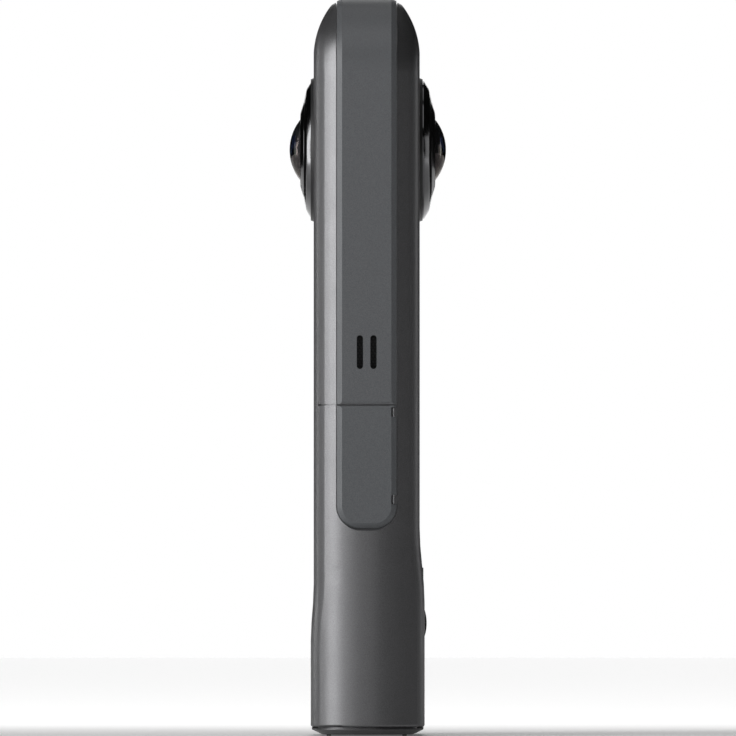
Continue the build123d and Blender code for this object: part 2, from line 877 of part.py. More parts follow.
# Lens parts of the front and the rear, both set a little towards the front
lens_axis = Axis((0, 0, lens_height), (0, 1, 0))
for end, facing in (("front", -1), ("rear", 1)):
    profile_plane = Plane(origin=(0, 0, lens_height), x_dir=(1, 0, 0), z_dir=(0, 0, facing))
    apex = overall_depth / 2 - facing * lens_shift
    dome_centre = apex - dome_radius
    dome_edge = dome_centre + sqrt(dome_radius**2 - dome_rim_radius**2)
    rim_bed = dome_edge - 2 * dome_rim_depth
    mouth_edge = apex - dome_stand
    shoulder = half_depth + ring_shoulder - facing * lens_shift
    cone_height = mouth_edge - shoulder - ring_edge

    # Thin collar that stands on the casing round the lens ring
    with BuildPart() as lens_collar:
        with BuildSketch(profile_plane):
            with BuildLine():
                Polyline(
                    (collar_radius - collar_thickness, half_depth),
                    (collar_radius, half_depth),
                    (collar_radius - collar_thickness / 2, half_depth + collar_height),
                    (collar_radius - collar_thickness, half_depth + collar_height),
                    close=True,
                )
            make_face()
        revolve(axis=lens_axis)
    lens_collar.part.label = f"{end}_lens_collar"
    export_step(lens_collar.part, f"parts/{end}_lens_collar.step")

    # Stepped black ring that holds the dome and plugs into the casing
    with BuildPart() as lens_ring:
        with BuildSketch(profile_plane):
            with BuildLine():
                Polyline(
                    (barrel_radius + barrel_gap, half_depth - spigot_depth),
                    (spigot_radius, half_depth - spigot_depth),
                    (spigot_radius, half_depth),
                    (ring_radius, half_depth),
                    (ring_radius, shoulder),
                    (ring_radius - ring_edge, shoulder + ring_edge),
                    (cone_radius, shoulder + ring_edge + cone_rise_share * cone_height),
                    (step_radius, shoulder + ring_edge + step_rise_share * cone_height),
                    (brow_radius, mouth_edge),
                    (mouth_radius, mouth_edge),
                    (dome_rim_radius + rim_gap, dome_edge + rim_gap),
                    (dome_rim_radius + rim_gap, rim_bed),
                    (barrel_radius + barrel_gap, rim_bed),
                    close=True,
                )
            make_face()
        revolve(axis=lens_axis)
    lens_ring.part.label = f"{end}_lens_ring"
    export_step(lens_ring.part, f"parts/{end}_lens_ring.step")

    # Glass dome: a meniscus with a flat seating rim
    with BuildPart() as lens_dome:
        with BuildSketch(profile_plane):
            with BuildLine():
                back = apex - dome_thickness
                hollow_centre = back - dome_hollow_radius
                hollow_reach = sqrt(dome_hollow_radius**2 - (rim_bed - hollow_centre) ** 2)
                middle = (dome_radius * sin(pi / 8), dome_centre + dome_radius * cos(pi / 8))
                inner_middle = (
                    dome_hollow_radius * sin(pi / 8),
                    hollow_centre + dome_hollow_radius * cos(pi / 8),
                )
                ThreePointArc((0, apex), middle, (dome_rim_radius, dome_edge))
                Polyline((dome_rim_radius, dome_edge), (dome_rim_radius, rim_bed), (hollow_reach, rim_bed))
                ThreePointArc((hollow_reach, rim_bed), inner_middle, (0, back))
                Line((0, back), (0, apex))
            make_face()
        revolve(axis=lens_axis)
    lens_dome.part.label = f"{end}_lens_dome"
    export_step(lens_dome.part, f"parts/{end}_lens_dome.step")

    # Barrel between the dome and the optical frame
    with BuildPart() as lens_barrel:
        with BuildSketch(profile_plane):
            with Locations(((barrel_radius + barrel_bore) / 2, (rim_bed + barrel_foot) / 2)):
                Rectangle(barrel_radius - barrel_bore, rim_bed - barrel_foot)
        revolve(axis=lens_axis)
    lens_barrel.part.label = f"{end}_lens_barrel"
    export_step(lens_barrel.part, f"parts/{end}_lens_barrel.step")

# Optical frame between the barrels, bored across for the light paths
frame_depth = 2 * (barrel_foot - optical_frame_gap)
with BuildPart() as optical_frame:
    with BuildSketch(Plane.XY.offset(lens_height - optical_frame_height / 2)):
        Rectangle(optical_frame_length, frame_depth)
    extrude(amount=optical_frame_height)
    with BuildSketch(front_side(-frame_depth / 2)):
        with Locations((0, lens_height)):
            Circle(light_bore)
    extrude(amount=frame_depth, mode=Mode.SUBTRACT)
    with BuildSketch(right_side(-optical_frame_length / 2)):
        with Locations((0, lens_height)):
            Circle(relay_radius + relay_gap)
    extrude(amount=optical_frame_length, mode=Mode.SUBTRACT)
optical_frame.part.label = "optical_frame"
export_step(optical_frame.part, "parts/optical_frame.step")

# Two prisms back to back, each turning one lens's light to its own side
with BuildPart() as prism_pair:
    with BuildSketch(Plane.XY.offset(lens_height - prism_height / 2)):
        reach = prism_half - prism_split
        for turned in (1, -1):
            with BuildLine():
                corner = (turned * prism_half, -turned * prism_half)
                Polyline(
                    corner,
                    (turned * prism_half, turned * reach),
                    (-turned * reach, -turned * prism_half),
                    close=True,
                )
            make_face()
    extrude(amount=prism_height)
prism_pair.part.label = "prism_pair"
export_step(prism_pair.part, "parts/prism_pair.step")

# Relay lens barrels, one towards each side
with BuildPart() as relay_barrels:
    for side in (left_side, right_side):
        with BuildSketch(side(relay_start)):
            with Locations((0, lens_height)):
                Circle(relay_radius)
                Circle(relay_bore, mode=Mode.SUBTRACT)
        extrude(amount=relay_length)
relay_barrels.part.label = "relay_barrels"
export_step(relay_barrels.part, "parts/relay_barrels.step")

# Image sensors on their boards, closing the ends of the optical frame
with BuildPart() as image_sensors:
    for side in (left_side, right_side):
        with BuildSketch(side(optical_frame_length / 2)):
            with Locations((0, lens_height)):
                Rectangle(sensor_board_width, sensor_board_height)
        extrude(amount=sensor_board_thickness)
        with BuildSketch(side(optical_frame_length / 2 - sensor_thickness)):
            with Locations((0, lens_height)):
                Rectangle(sensor_width, sensor_height)
        extrude(amount=sensor_thickness)
image_sensors.part.label = "image_sensors"
export_step(image_sensors.part, "parts/image_sensors.step")

# Display
with BuildPart() as display_glass:
    with BuildSketch(front_side(half_depth - glass_thickness)):
        with Locations((0, glass_centre)):
            RectangleRounded(glass_width, glass_length, glass_radius)
    extrude(amount=glass_thickness)
display_glass.part.label = "display_glass"
export_step(display_glass.part, "parts/display_glass.step")

panel_back = half_depth - glass_thickness - panel_thickness
with BuildPart() as display_panel:
    with BuildSketch(front_side(panel_back)):
        with Locations((0, glass_centre)):
            Rectangle(panel_width, panel_length)
    extrude(amount=panel_thickness)
display_panel.part.label = "display_panel"
export_step(display_panel.part, "parts/display_panel.step")

board_front = main_board_back + board_thickness
with BuildPart() as display_link:
    with BuildSketch(front_side(board_front)):
        with Locations((0, boss_low + link_height)):
            Rectangle(link_width, link_height)
    extrude(amount=panel_back - board_front)
display_link.part.label = "display_link"
export_step(display_link.part, "parts/display_link.step")

# Shutter button group
with BuildPart() as shutter_bezel:
    with BuildSketch(front_side(bezel_seat)):
        with Locations((0, shutter_height)):
            Circle(bezel_radius)
    extrude(amount=bezel_face - bezel_seat)
    lip_low = shutter_height - lip_drop - lip_radius
    with BuildPart(mode=Mode.PRIVATE) as lip:
        with BuildSketch(front_side(lip_seat)):
            with Locations((0, shutter_height - lip_drop)):
                Circle(lip_radius)
            with Locations((0, shutter_height)):
                Circle(lip_inner_radius, mode=Mode.SUBTRACT)
        extrude(amount=lip_face - lip_seat)
        with BuildSketch(Plane.YZ):
            with BuildLine():
                ends = [(-lip_seat, lip_low - lip_margin), (-lip_seat, lip_low + lip_length)]
                ThreePointArc(ends[0], (-lip_face, lip_low + lip_length / 2), ends[1])
                Line(*ends)
            make_face()
        extrude(amount=lip_radius, both=True, mode=Mode.INTERSECT)
    add(lip.part)
    with BuildSketch(front_side(bezel_seat)):
        with Locations((0, shutter_height)):
            Circle(bezel_bore)
    extrude(amount=lip_face - bezel_seat, mode=Mode.SUBTRACT)
shutter_bezel.part.label = "shutter_bezel"
export_step(shutter_bezel.part, "parts/shutter_bezel.step")

with BuildPart() as shutter_button:
    with BuildSketch(front_side(button_back)):
        with Locations((0, shutter_height)):
            Circle(button_flange_radius)
    extrude(amount=bezel_seat - seat_gap - button_back)
    with BuildSketch(front_side(button_back)):
        with Locations((0, shutter_height)):
            Circle(button_radius)
    extrude(amount=button_face - button_back)
    chamfer(shutter_button.faces().sort_by(Axis.Y)[0].edges(), length=button_crown)
shutter_button.part.label = "shutter_button"
export_step(shutter_button.part, "parts/shutter_button.step")

switch_front = button_back - switch_travel_gap
switch_back = switch_front - switch_height
with BuildPart() as shutter_switch:
    with BuildSketch(front_side(switch_back)):
        with Locations((0, shutter_height)):
            Rectangle(switch_size, switch_size)
    extrude(amount=switch_height / 2)
    with BuildSketch(front_side(switch_back)):
        with Locations((0, shutter_height)):
            Circle(switch_size / 3)
    extrude(amount=switch_height)
shutter_switch.part.label = "shutter_switch"
export_step(shutter_switch.part, "parts/shutter_switch.step")

with BuildPart() as shutter_board:
    with BuildSketch(front_side(switch_back - shutter_board_thickness)):
        with Locations((0, shutter_height)):
            Rectangle(shutter_board_width, shutter_board_height)
    extrude(amount=shutter_board_thickness)
shutter_board.part.label = "shutter_board"
export_step(shutter_board.part, "parts/shutter_board.step")

with BuildPart() as status_lamp:
    with BuildSketch(front_side(lamp_face - lamp_length)):
        with Locations((0, lamp_height)):
            Circle(lamp_radius)
    extrude(amount=lamp_length)
status_lamp.part.label = "status_lamp"
export_step(status_lamp.part, "parts/status_lamp.step")

# Keys of the right side: a cap through the trim band, with a flange behind the wall
key_inner = hollow_half - key_back_gap - key_flange_thickness
for name, height, length in (
    ("power_button", power_height, power_length),
    ("mode_button", mode_height, mode_length),
):
    with BuildPart() as key:
        with BuildSketch(right_side(key_inner)):
            with Locations((0, height)):
                SlotOverall(length + 2 * key_flange, key_width + 2 * key_flange, rotation=90)
        extrude(amount=key_flange_thickness)
        with BuildSketch(right_side(key_inner)):
            with Locations((0, height)):
                SlotOverall(length, key_width, rotation=90)
        extrude(amount=trim_face + key_proud - key_inner)
        chamfer(key.faces().sort_by(Axis.X)[-1].edges(), length=key_edge)
    key.part.label = name
    export_step(key.part, f"parts/{name}.step")

with BuildPart() as side_switch_board:
    with BuildSketch(right_side(side_board_outer - side_board_thickness)):
        with Locations((0, (side_board_low + side_board_high) / 2)):
            Rectangle(side_board_width, side_board_high - side_board_low)
    extrude(amount=side_board_thickness)
    with BuildSketch(right_side(side_board_outer)):
        with Locations((0, power_height), (0, mode_height)):
            Rectangle(tact_size, tact_size)
    extrude(amount=tact_height)
side_switch_board.part.label = "side_switch_board"
export_step(side_switch_board.part, "parts/side_switch_board.step")

# Inner frame: a plate across the casing with bosses, ears and a rim round the battery
rim_left = -battery_left - pad_gap - rim_thickness
rim_right = battery_width - battery_left + pad_gap + rim_thickness
rim_bottom = battery_low - pad_gap - rim_thickness
rim_top = battery_high + pad_gap + rim_thickness
frame_screw_places = [(x, z) for x in (-post_x, post_x) for z in (post_low, post_high)]
board_screw_places = [(x, z) for x in (-boss_x, boss_x) for z in (boss_low, boss_high)]
with BuildPart() as inner_frame:
    with BuildSketch(front_side(frame_back)):
        with Locations(((frame_right - frame_left) / 2, (frame_high + frame_low) / 2)):
            Rectangle(frame_right + frame_left, frame_high - frame_low)
        ear_x = ear_reach - ear_width / 2
        with Locations(*[(x, z) for x in (-ear_x, ear_x) for z in (post_low, post_high)]):
            Rectangle(ear_width, ear_height)
        with Locations(*frame_screw_places):
            Circle(post_bore, mode=Mode.SUBTRACT)
    extrude(amount=frame_thickness)
    with BuildSketch(front_side(frame_front)):
        with Locations(*board_screw_places):
            Circle(boss_radius)
    extrude(amount=main_board_back - frame_front)
    with BuildSketch(front_side(frame_front)):
        with Locations(*[(x, shutter_height) for x in (-switch_size, switch_size)]):
            Circle(boss_radius)
    extrude(amount=switch_back - shutter_board_thickness - frame_front)
    with BuildSketch(front_side(frame_front - frame_thickness)):
        with Locations(*board_screw_places):
            Circle(post_bore)
    extrude(amount=main_board_back - frame_back, mode=Mode.SUBTRACT)
    with BuildSketch(rear_side(-frame_back)):
        with Locations((-(rim_left + rim_right) / 2, (rim_bottom + rim_top) / 2)):
            Rectangle(rim_right - rim_left, rim_top - rim_bottom)
            Rectangle(
                rim_right - rim_left - 2 * rim_thickness,
                rim_top - rim_bottom - 2 * rim_thickness,
                mode=Mode.SUBTRACT,
            )
    extrude(amount=rim_height)
inner_frame.part.label = "inner_frame"
export_step(inner_frame.part, "parts/inner_frame.step")

with BuildPart() as main_board:
    with BuildSketch(front_side(main_board_back)):
        with Locations((0, (main_board_low + main_board_high) / 2)):
            Rectangle(2 * main_board_half, main_board_high - main_board_low)
        with Locations(*board_screw_places):
            Circle(post_bore, mode=Mode.SUBTRACT)
    extrude(amount=board_thickness)
main_board.part.label = "main_board"
export_step(main_board.part, "parts/main_board.step")

with BuildPart() as shield_cans:
    with BuildSketch(front_side(main_board_back - can_thickness)):
        can_centres = [main_board_low + can_margin + can_length / 2]
        can_centres.append(can_centres[0] + can_length + can_split)
        with Locations(*[(0, height) for height in can_centres]):
            Rectangle(can_width, can_length)
    extrude(amount=can_thickness)
shield_cans.part.label = "shield_cans"
export_step(shield_cans.part, "parts/shield_cans.step")

with BuildPart() as heat_spreader:
    with BuildSketch(front_side(frame_front)):
        with Locations((0, (main_board_low + main_board_high) / 2)):
            Rectangle(spreader_width, main_board_high - main_board_low - 2 * spreader_margin)
    extrude(amount=main_board_back - can_thickness - frame_front)
heat_spreader.part.label = "heat_spreader"
export_step(heat_spreader.part, "parts/heat_spreader.step")

with BuildPart() as battery_pack:
    with BuildSketch(rear_side(-frame_back)):
        with Locations((battery_left - battery_width / 2, (battery_low + battery_high) / 2)):
            Rectangle(battery_width, battery_high - battery_low)
    extrude(amount=battery_thickness)
    fillet(battery_pack.edges().filter_by(Axis.Z), radius=battery_radius)
battery_pack.part.label = "battery_pack"
export_step(battery_pack.part, "parts/battery_pack.step")

with BuildPart() as battery_pads:
    with BuildSketch(rear_side(battery_back)):
        pad_heights = (battery_low + pad_height, battery_high - pad_height)
        with Locations(*[(battery_left - battery_width / 2, height) for height in pad_heights]):
            Rectangle(pad_width, pad_height)
    extrude(amount=inner_face - pad_gap - battery_back)
battery_pads.part.label = "battery_pads"
export_step(battery_pads.part, "parts/battery_pads.step")

# Screws, one group for each fastening
with BuildPart() as board_screws:
    with BuildSketch(front_side(board_front)):
        with Locations(*board_screw_places):
            Circle(screw_head_radius)
    extrude(amount=screw_head_height)
    with BuildSketch(front_side(board_front - board_thickness - screw_length / 2)):
        with Locations(*board_screw_places):
            Circle(screw_radius)
    extrude(amount=board_thickness + screw_length / 2)
board_screws.part.label = "board_screws"
export_step(board_screws.part, "parts/board_screws.step")

with BuildPart() as frame_screws:
    with BuildSketch(front_side(frame_back - screw_head_height)):
        with Locations(*frame_screw_places):
            Circle(screw_head_radius)
    extrude(amount=screw_head_height)
    with BuildSketch(front_side(frame_back)):
        with Locations(*frame_screw_places):
            Circle(screw_radius)
    extrude(amount=screw_length)
frame_screws.part.label = "frame_screws"
export_step(frame_screws.part, "parts/frame_screws.step")

# Base plate: a neck against the casing and a chamfered slab below it
base_front = front_depth(body_floor)
base_rear = rear_depth(body_floor)
with BuildPart() as base_plate:
    extrude(plan_outline(base_top, base_front, base_rear, base_neck_inset), amount=base_top_gap)
    slab_edge = base_top - base_edge
    extrude(plan_outline(slab_edge, base_front, base_rear, base_inset), amount=base_edge)
    upper = plan_outline(slab_edge, base_front, base_rear, base_inset)
    lower = plan_outline(base_bottom, base_front, base_rear, base_inset + base_taper)
    loft([lower, upper], ruled=True)
    with BuildSketch(Plane.XY.offset(base_bottom)):
        Circle(bush_radius + bush_gap)
        with GridLocations(2 * base_screw_x, 2 * base_screw_y, 2, 2):
            Circle(base_screw_radius)
    extrude(amount=body_floor - base_bottom, mode=Mode.SUBTRACT)
    with BuildSketch(Plane.XY.offset(base_bottom)):
        with GridLocations(2 * base_screw_x, 2 * base_screw_y, 2, 2):
            Circle(base_screw_head + bush_gap)
    extrude(amount=base_screw_head_height, mode=Mode.SUBTRACT)
base_plate.part.label = "base_plate"
export_step(base_plate.part, "parts/base_plate.step")

with BuildPart() as base_feet:
    with BuildSketch(Plane.XY):
        with GridLocations(0, foot_spacing, 1, 2):
            SlotOverall(foot_length, foot_width)
    extrude(amount=base_bottom)
base_feet.part.label = "base_feet"
export_step(base_feet.part, "parts/base_feet.step")

with BuildPart() as base_screws:
    with BuildSketch(Plane.XY.offset(base_bottom)):
        with GridLocations(2 * base_screw_x, 2 * base_screw_y, 2, 2):
            Circle(base_screw_head)
    extrude(amount=base_screw_head_height)
    with BuildSketch(Plane.XY.offset(base_bottom)):
        with GridLocations(2 * base_screw_x, 2 * base_screw_y, 2, 2):
            Circle(base_screw_radius)
    extrude(amount=base_screw_length)
base_screws.part.label = "base_screws"
export_step(base_screws.part, "parts/base_screws.step")

# Tripod bush, pulled against the inside of the bottom wall by its flange
with BuildPart() as tripod_bush:
    with BuildSketch(Plane.XY.offset(base_bottom)):
        Circle(bush_radius)
    extrude(amount=bush_top - base_bottom)
    with BuildSketch(Plane.XY.offset(hollow_floor)):
        Circle(bush_flange_radius)
    extrude(amount=bush_flange_thickness)
    with BuildSketch(Plane.XY.offset(base_bottom)):
        Circle(tripod_radius)
    extrude(amount=tripod_depth, mode=Mode.SUBTRACT)
    mouth = tripod_bush.faces().sort_by(Axis.Z)[0].edges().sort_by(SortBy.LENGTH)[0]
    chamfer(mouth, length=tripod_lead)
tripod_bush.part.label = "tripod_bush"
export_step(tripod_bush.part, "parts/tripod_bush.step")

# Microphones and antenna under the top wall
with BuildPart() as microphones:
    with BuildSketch(Plane.XY.offset(hollow_top - mic_height)):
        with Locations((-mic_x, 0), (mic_x, 0)):
            Rectangle(mic_length, mic_width)
    extrude(amount=mic_height)
microphones.part.label = "microphones"
export_step(microphones.part, "parts/microphones.step")

with BuildPart() as antenna_strip:
    with BuildSketch(Plane.XY.offset(hollow_top - antenna_thickness)):
        with Locations((0, antenna_offset)):
            Rectangle(antenna_length, antenna_width)
    extrude(amount=antenna_thickness)
antenna_strip.part.label = "antenna_strip"
export_step(antenna_strip.part, "parts/antenna_strip.step")
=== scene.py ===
import math

import bmesh
import bpy
from mathutils import Matrix, Vector


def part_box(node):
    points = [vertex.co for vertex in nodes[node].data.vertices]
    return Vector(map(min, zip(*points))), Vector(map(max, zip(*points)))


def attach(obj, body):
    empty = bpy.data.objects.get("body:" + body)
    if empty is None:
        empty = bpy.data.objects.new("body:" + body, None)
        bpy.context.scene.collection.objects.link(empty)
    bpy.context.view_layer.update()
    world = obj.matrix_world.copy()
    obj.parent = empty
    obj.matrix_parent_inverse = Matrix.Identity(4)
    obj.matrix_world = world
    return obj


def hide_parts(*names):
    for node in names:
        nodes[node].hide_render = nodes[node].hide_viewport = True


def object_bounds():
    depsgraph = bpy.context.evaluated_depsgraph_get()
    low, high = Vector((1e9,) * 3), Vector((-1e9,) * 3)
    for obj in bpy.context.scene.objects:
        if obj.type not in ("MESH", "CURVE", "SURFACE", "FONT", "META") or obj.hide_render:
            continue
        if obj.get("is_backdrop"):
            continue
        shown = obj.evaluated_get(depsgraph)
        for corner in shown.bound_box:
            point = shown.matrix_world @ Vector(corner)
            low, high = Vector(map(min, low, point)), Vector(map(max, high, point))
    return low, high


# Same frame as the CAD, in metres: Z up, the display faces -Y, the port cover and speaker are at -X
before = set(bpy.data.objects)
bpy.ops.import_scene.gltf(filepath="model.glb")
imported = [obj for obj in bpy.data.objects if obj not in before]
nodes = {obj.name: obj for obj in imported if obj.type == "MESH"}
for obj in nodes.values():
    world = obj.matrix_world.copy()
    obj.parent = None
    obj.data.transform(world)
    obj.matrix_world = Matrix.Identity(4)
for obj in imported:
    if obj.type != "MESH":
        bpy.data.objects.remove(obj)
cad_low, cad_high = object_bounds()

MM = 0.001
MICRON = 0.000001
QUARTER = math.radians(90)
WHITE = (1, 1, 1, 1)

# Lens places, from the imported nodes: the optical axis and the seat on the casing
dome_low, dome_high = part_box("front_lens_dome")
lens_z = (dome_low.z + dome_high.z) / 2
seat_level = -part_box("front_lens_collar")[1].y

# Materials: sizes of the patches and depths of the relief
FLAKE_SIZE = 0.12 * MM
FLAKE_DEPTH = 1.2 * MICRON
PEEL_SIZE = 0.9 * MM
PEEL_DEPTH = 2.5 * MICRON
PAINT_CLOUD = 6 * MM
MOULD_CLOUD = 10 * MM
METAL_CLOUD = 4 * MM
LATHE_CLOUD = 3 * MM
LATHE_RING = 1.6 * MM
LATHE_DEPTH = 0.6 * MICRON
LENS_SMEAR = 4 * MM
DISPLAY_SMEAR = 8 * MM
PIXEL_SIZE = 0.4 * MM
TABLE_CLOUD = 250 * MM

# Noise mostly lies in this range of its 0 to 1
NOISE_LOW = 0.3
NOISE_HIGH = 0.7

# Table: where its strip of light starts and is full, along X and to each side
STRIP_ALONG = (-0.02, 0.22)
STRIP_SIDE = (0.3, 0.09)
STRIP_GLOW = 0.65

# Table: its own glow near the object and far off, as a distance and a strength
GLOW_NEAR = (0.15, 0.1)
GLOW_FAR = (0.9, 0.36)


def new_material(name):
    """A new node material with its node tree and its Principled shader."""
    material = bpy.data.materials.new(name)
    material.use_nodes = True
    tree = material.node_tree
    return material, tree, tree.nodes["Principled BSDF"]


def fill(tree, node, inputs):
    """Sets inputs of a node: each gets a value, or a link where a socket is given."""
    for key, value in inputs.items():
        if isinstance(value, bpy.types.NodeSocket):
            tree.links.new(value, node.inputs[key])
        else:
            node.inputs[key].default_value = value


def object_point(tree):
    """The shaded point in the object's own space."""
    return tree.nodes.new("ShaderNodeTexCoord").outputs["Object"]


def mapped_point(tree, inputs):
    """The shaded point moved, turned or stretched."""
    mapping = tree.nodes.new("ShaderNodeMapping")
    fill(tree, mapping, {"Vector": object_point(tree), **inputs})
    return mapping.outputs["Vector"]


def noise(tree, size, detail, stretch=(1, 1, 1)):
    """Noise with patches of about this size."""
    texture = tree.nodes.new("ShaderNodeTexNoise")
    point = mapped_point(tree, {"Scale": stretch})
    fill(tree, texture, {"Vector": point, "Scale": 1 / size, "Detail": detail})
    return texture.outputs["Fac"]


def map_range(tree, value, start, end, low, high):
    """Maps the range from start to end to the range from low to high."""
    node = tree.nodes.new("ShaderNodeMapRange")
    inputs = {"Value": value, "From Min": start, "From Max": end, "To Min": low, "To Max": high}
    fill(tree, node, inputs)
    return node


def ease(tree, value, start, end, low=0.0, high=1.0):
    """Maps a range as map_range does, with soft ends."""
    node = map_range(tree, value, start, end, low, high)
    node.interpolation_type = "SMOOTHSTEP"
    return node.outputs["Result"]


def spread(tree, factor, low, high):
    """Maps a noise to a range of values."""
    return map_range(tree, factor, NOISE_LOW, NOISE_HIGH, low, high).outputs["Result"]


def shade(tree, factor, dark, light):
    """Colour that varies with a noise between two colours."""
    ramp = tree.nodes.new("ShaderNodeValToRGB")
    first, last = ramp.color_ramp.elements
    first.position, first.color = NOISE_LOW, (*dark, 1)
    last.position, last.color = NOISE_HIGH, (*light, 1)
    tree.links.new(factor, ramp.inputs["Fac"])
    return ramp.outputs["Color"]


def bump(tree, factor, depth, below=None):
    """Fine relief of a depth, on top of the relief below it."""
    node = tree.nodes.new("ShaderNodeBump")
    fill(tree, node, {"Height": factor, "Strength": 1.0, "Distance": depth})
    if below:
        tree.links.new(below, node.inputs["Normal"])
    return node.outputs["Normal"]


def tint(colour, amount):
    """A colour made darker or lighter."""
    return tuple(min(channel * amount, 1.0) for channel in colour)


def painted(name, colour, roughness, metallic, coat):
    """Satin metallic paint: fine flakes, a soft uneven gloss and a slight orange peel."""
    material, tree, shader = new_material(name)
    flakes = noise(tree, FLAKE_SIZE, 1.0)
    cloud = noise(tree, PAINT_CLOUD, 3.0)
    peel = noise(tree, PEEL_SIZE, 2.0)
    fine = bump(tree, flakes, FLAKE_DEPTH)
    fill(tree, shader, {
        "Base Color": shade(tree, flakes, tint(colour, 0.82), tint(colour, 1.18)),
        "Roughness": spread(tree, cloud, roughness - 0.02, roughness + 0.02),
        "Normal": bump(tree, peel, PEEL_DEPTH, fine),
        "Metallic": metallic,
        "Coat Weight": coat,
        "Coat Roughness": 0.3,
    })
    return material


def moulded(name, colour, roughness, grain=0.4 * MM, depth=8 * MICRON):
    """Moulded plastic or rubber with a spark-eroded grain."""
    material, tree, shader = new_material(name)
    surface = noise(tree, grain, 4.0)
    patches = noise(tree, MOULD_CLOUD, 2.0)
    fill(tree, shader, {
        "Base Color": shade(tree, surface, tint(colour, 0.85), tint(colour, 1.15)),
        "Roughness": spread(tree, patches, roughness - 0.04, roughness + 0.04),
        "Normal": bump(tree, surface, depth),
    })
    return material


def metal(name, colour, roughness, stretch=(1, 1, 1), grain=0.3 * MM, depth=2 * MICRON):
    """Bare metal with a fine drawn, cast or blasted surface."""
    material, tree, shader = new_material(name)
    surface = noise(tree, grain, 3.0, stretch)
    patches = noise(tree, METAL_CLOUD, 2.0)
    fill(tree, shader, {
        "Base Color": shade(tree, surface, tint(colour, 0.85), tint(colour, 1.1)),
        "Roughness": spread(tree, patches, roughness - 0.05, roughness + 0.07),
        "Normal": bump(tree, surface, depth),
        "Metallic": 1.0,
    })
    return material


def clear_glass(name, colour, film):
    """Optical glass with the faintest smear and a film of a thickness in nanometres."""
    material, tree, shader = new_material(name)
    smear = noise(tree, LENS_SMEAR, 2.0)
    fill(tree, shader, {
        "Base Color": shade(tree, smear, tint(colour, 0.96), colour),
        "Roughness": spread(tree, smear, 0.0, 0.03),
        "Transmission Weight": 1.0,
        "IOR": 1.55,
        "Thin Film Thickness": film,
        "Thin Film IOR": 1.38,
    })
    return material


def turned_black(name, colour, roughness):
    """Black anodised metal turned on a lathe, with fine rings about the lens axis."""
    material, tree, shader = new_material(name)
    rings = tree.nodes.new("ShaderNodeTexWave")
    rings.wave_type = "RINGS"
    rings.rings_direction = "SPHERICAL"
    point = mapped_point(tree, {"Location": (0, 0, -lens_z), "Scale": (1, 0, 1)})
    fill(tree, rings, {"Vector": point, "Scale": 1 / LATHE_RING, "Distortion": 0.4})
    cloud = noise(tree, LATHE_CLOUD, 3.0)
    fill(tree, shader, {
        "Base Color": shade(tree, cloud, tint(colour, 0.85), tint(colour, 1.15)),
        "Roughness": spread(tree, cloud, roughness - 0.03, roughness + 0.03),
        "Normal": bump(tree, rings.outputs["Fac"], LATHE_DEPTH),
        "Metallic": 1.0,
        "Coat Weight": 0.25,
        "Coat Roughness": 0.06,
    })
    return material


def light_table(name, colour):
    """White acrylic sheet, lit from below by a long soft strip behind the object."""
    material, tree, shader = new_material(name)
    cloud = noise(tree, TABLE_CLOUD, 1.0)
    point = object_point(tree)
    axes = tree.nodes.new("ShaderNodeSeparateXYZ")
    fill(tree, axes, {"Vector": point})
    aside = tree.nodes.new("ShaderNodeMath")
    aside.operation = "ABSOLUTE"
    fill(tree, aside, {0: axes.outputs["Y"]})
    strip = tree.nodes.new("ShaderNodeMath")
    strip.operation = "MULTIPLY"
    fill(tree, strip, {
        0: ease(tree, axes.outputs["X"], *STRIP_ALONG),
        1: ease(tree, aside.outputs["Value"], *STRIP_SIDE),
    })
    away = tree.nodes.new("ShaderNodeVectorMath")
    away.operation = "LENGTH"
    fill(tree, away, {0: point})
    near, near_glow = GLOW_NEAR
    far, far_glow = GLOW_FAR
    glow = ease(tree, away.outputs["Value"], near, far, near_glow, far_glow)
    lit = map_range(tree, strip.outputs["Value"], 0.0, 1.0, glow, STRIP_GLOW)
    fill(tree, shader, {
        "Base Color": shade(tree, cloud, tint(colour, 0.985), colour),
        "Roughness": 0.5,
        "Emission Color": WHITE,
        "Emission Strength": lit.outputs["Result"],
    })
    return material


def dark_glass(name, colour):
    """Cover glass over a switched-off display."""
    material, tree, shader = new_material(name)
    smear = noise(tree, DISPLAY_SMEAR, 3.0)
    fill(tree, shader, {
        "Base Color": shade(tree, smear, tint(colour, 0.9), tint(colour, 1.1)),
        "Roughness": spread(tree, smear, 0.03, 0.08),
        "Specular IOR Level": 0.5,
        "Coat Weight": 1.0,
        "Coat Roughness": 0.03,
    })
    return material


def screen_glass(name, colour):
    """Switched-off display behind its glass: a faint grid of pixels under a gloss."""
    material = dark_glass(name, colour)
    tree = material.node_tree
    grid = tree.nodes.new("ShaderNodeTexBrick")
    grid.offset = 0
    fill(tree, grid, {
        "Vector": mapped_point(tree, {"Rotation": (QUARTER, 0, 0)}),
        "Scale": 1 / PIXEL_SIZE,
        "Mortar Size": 0.06,
        "Color1": (*colour, 1),
        "Color2": (*tint(colour, 1.12), 1),
        "Mortar": (*tint(colour, 0.7), 1),
    })
    fill(tree, tree.nodes["Principled BSDF"], {"Base Color": grid.outputs["Color"]})
    return material


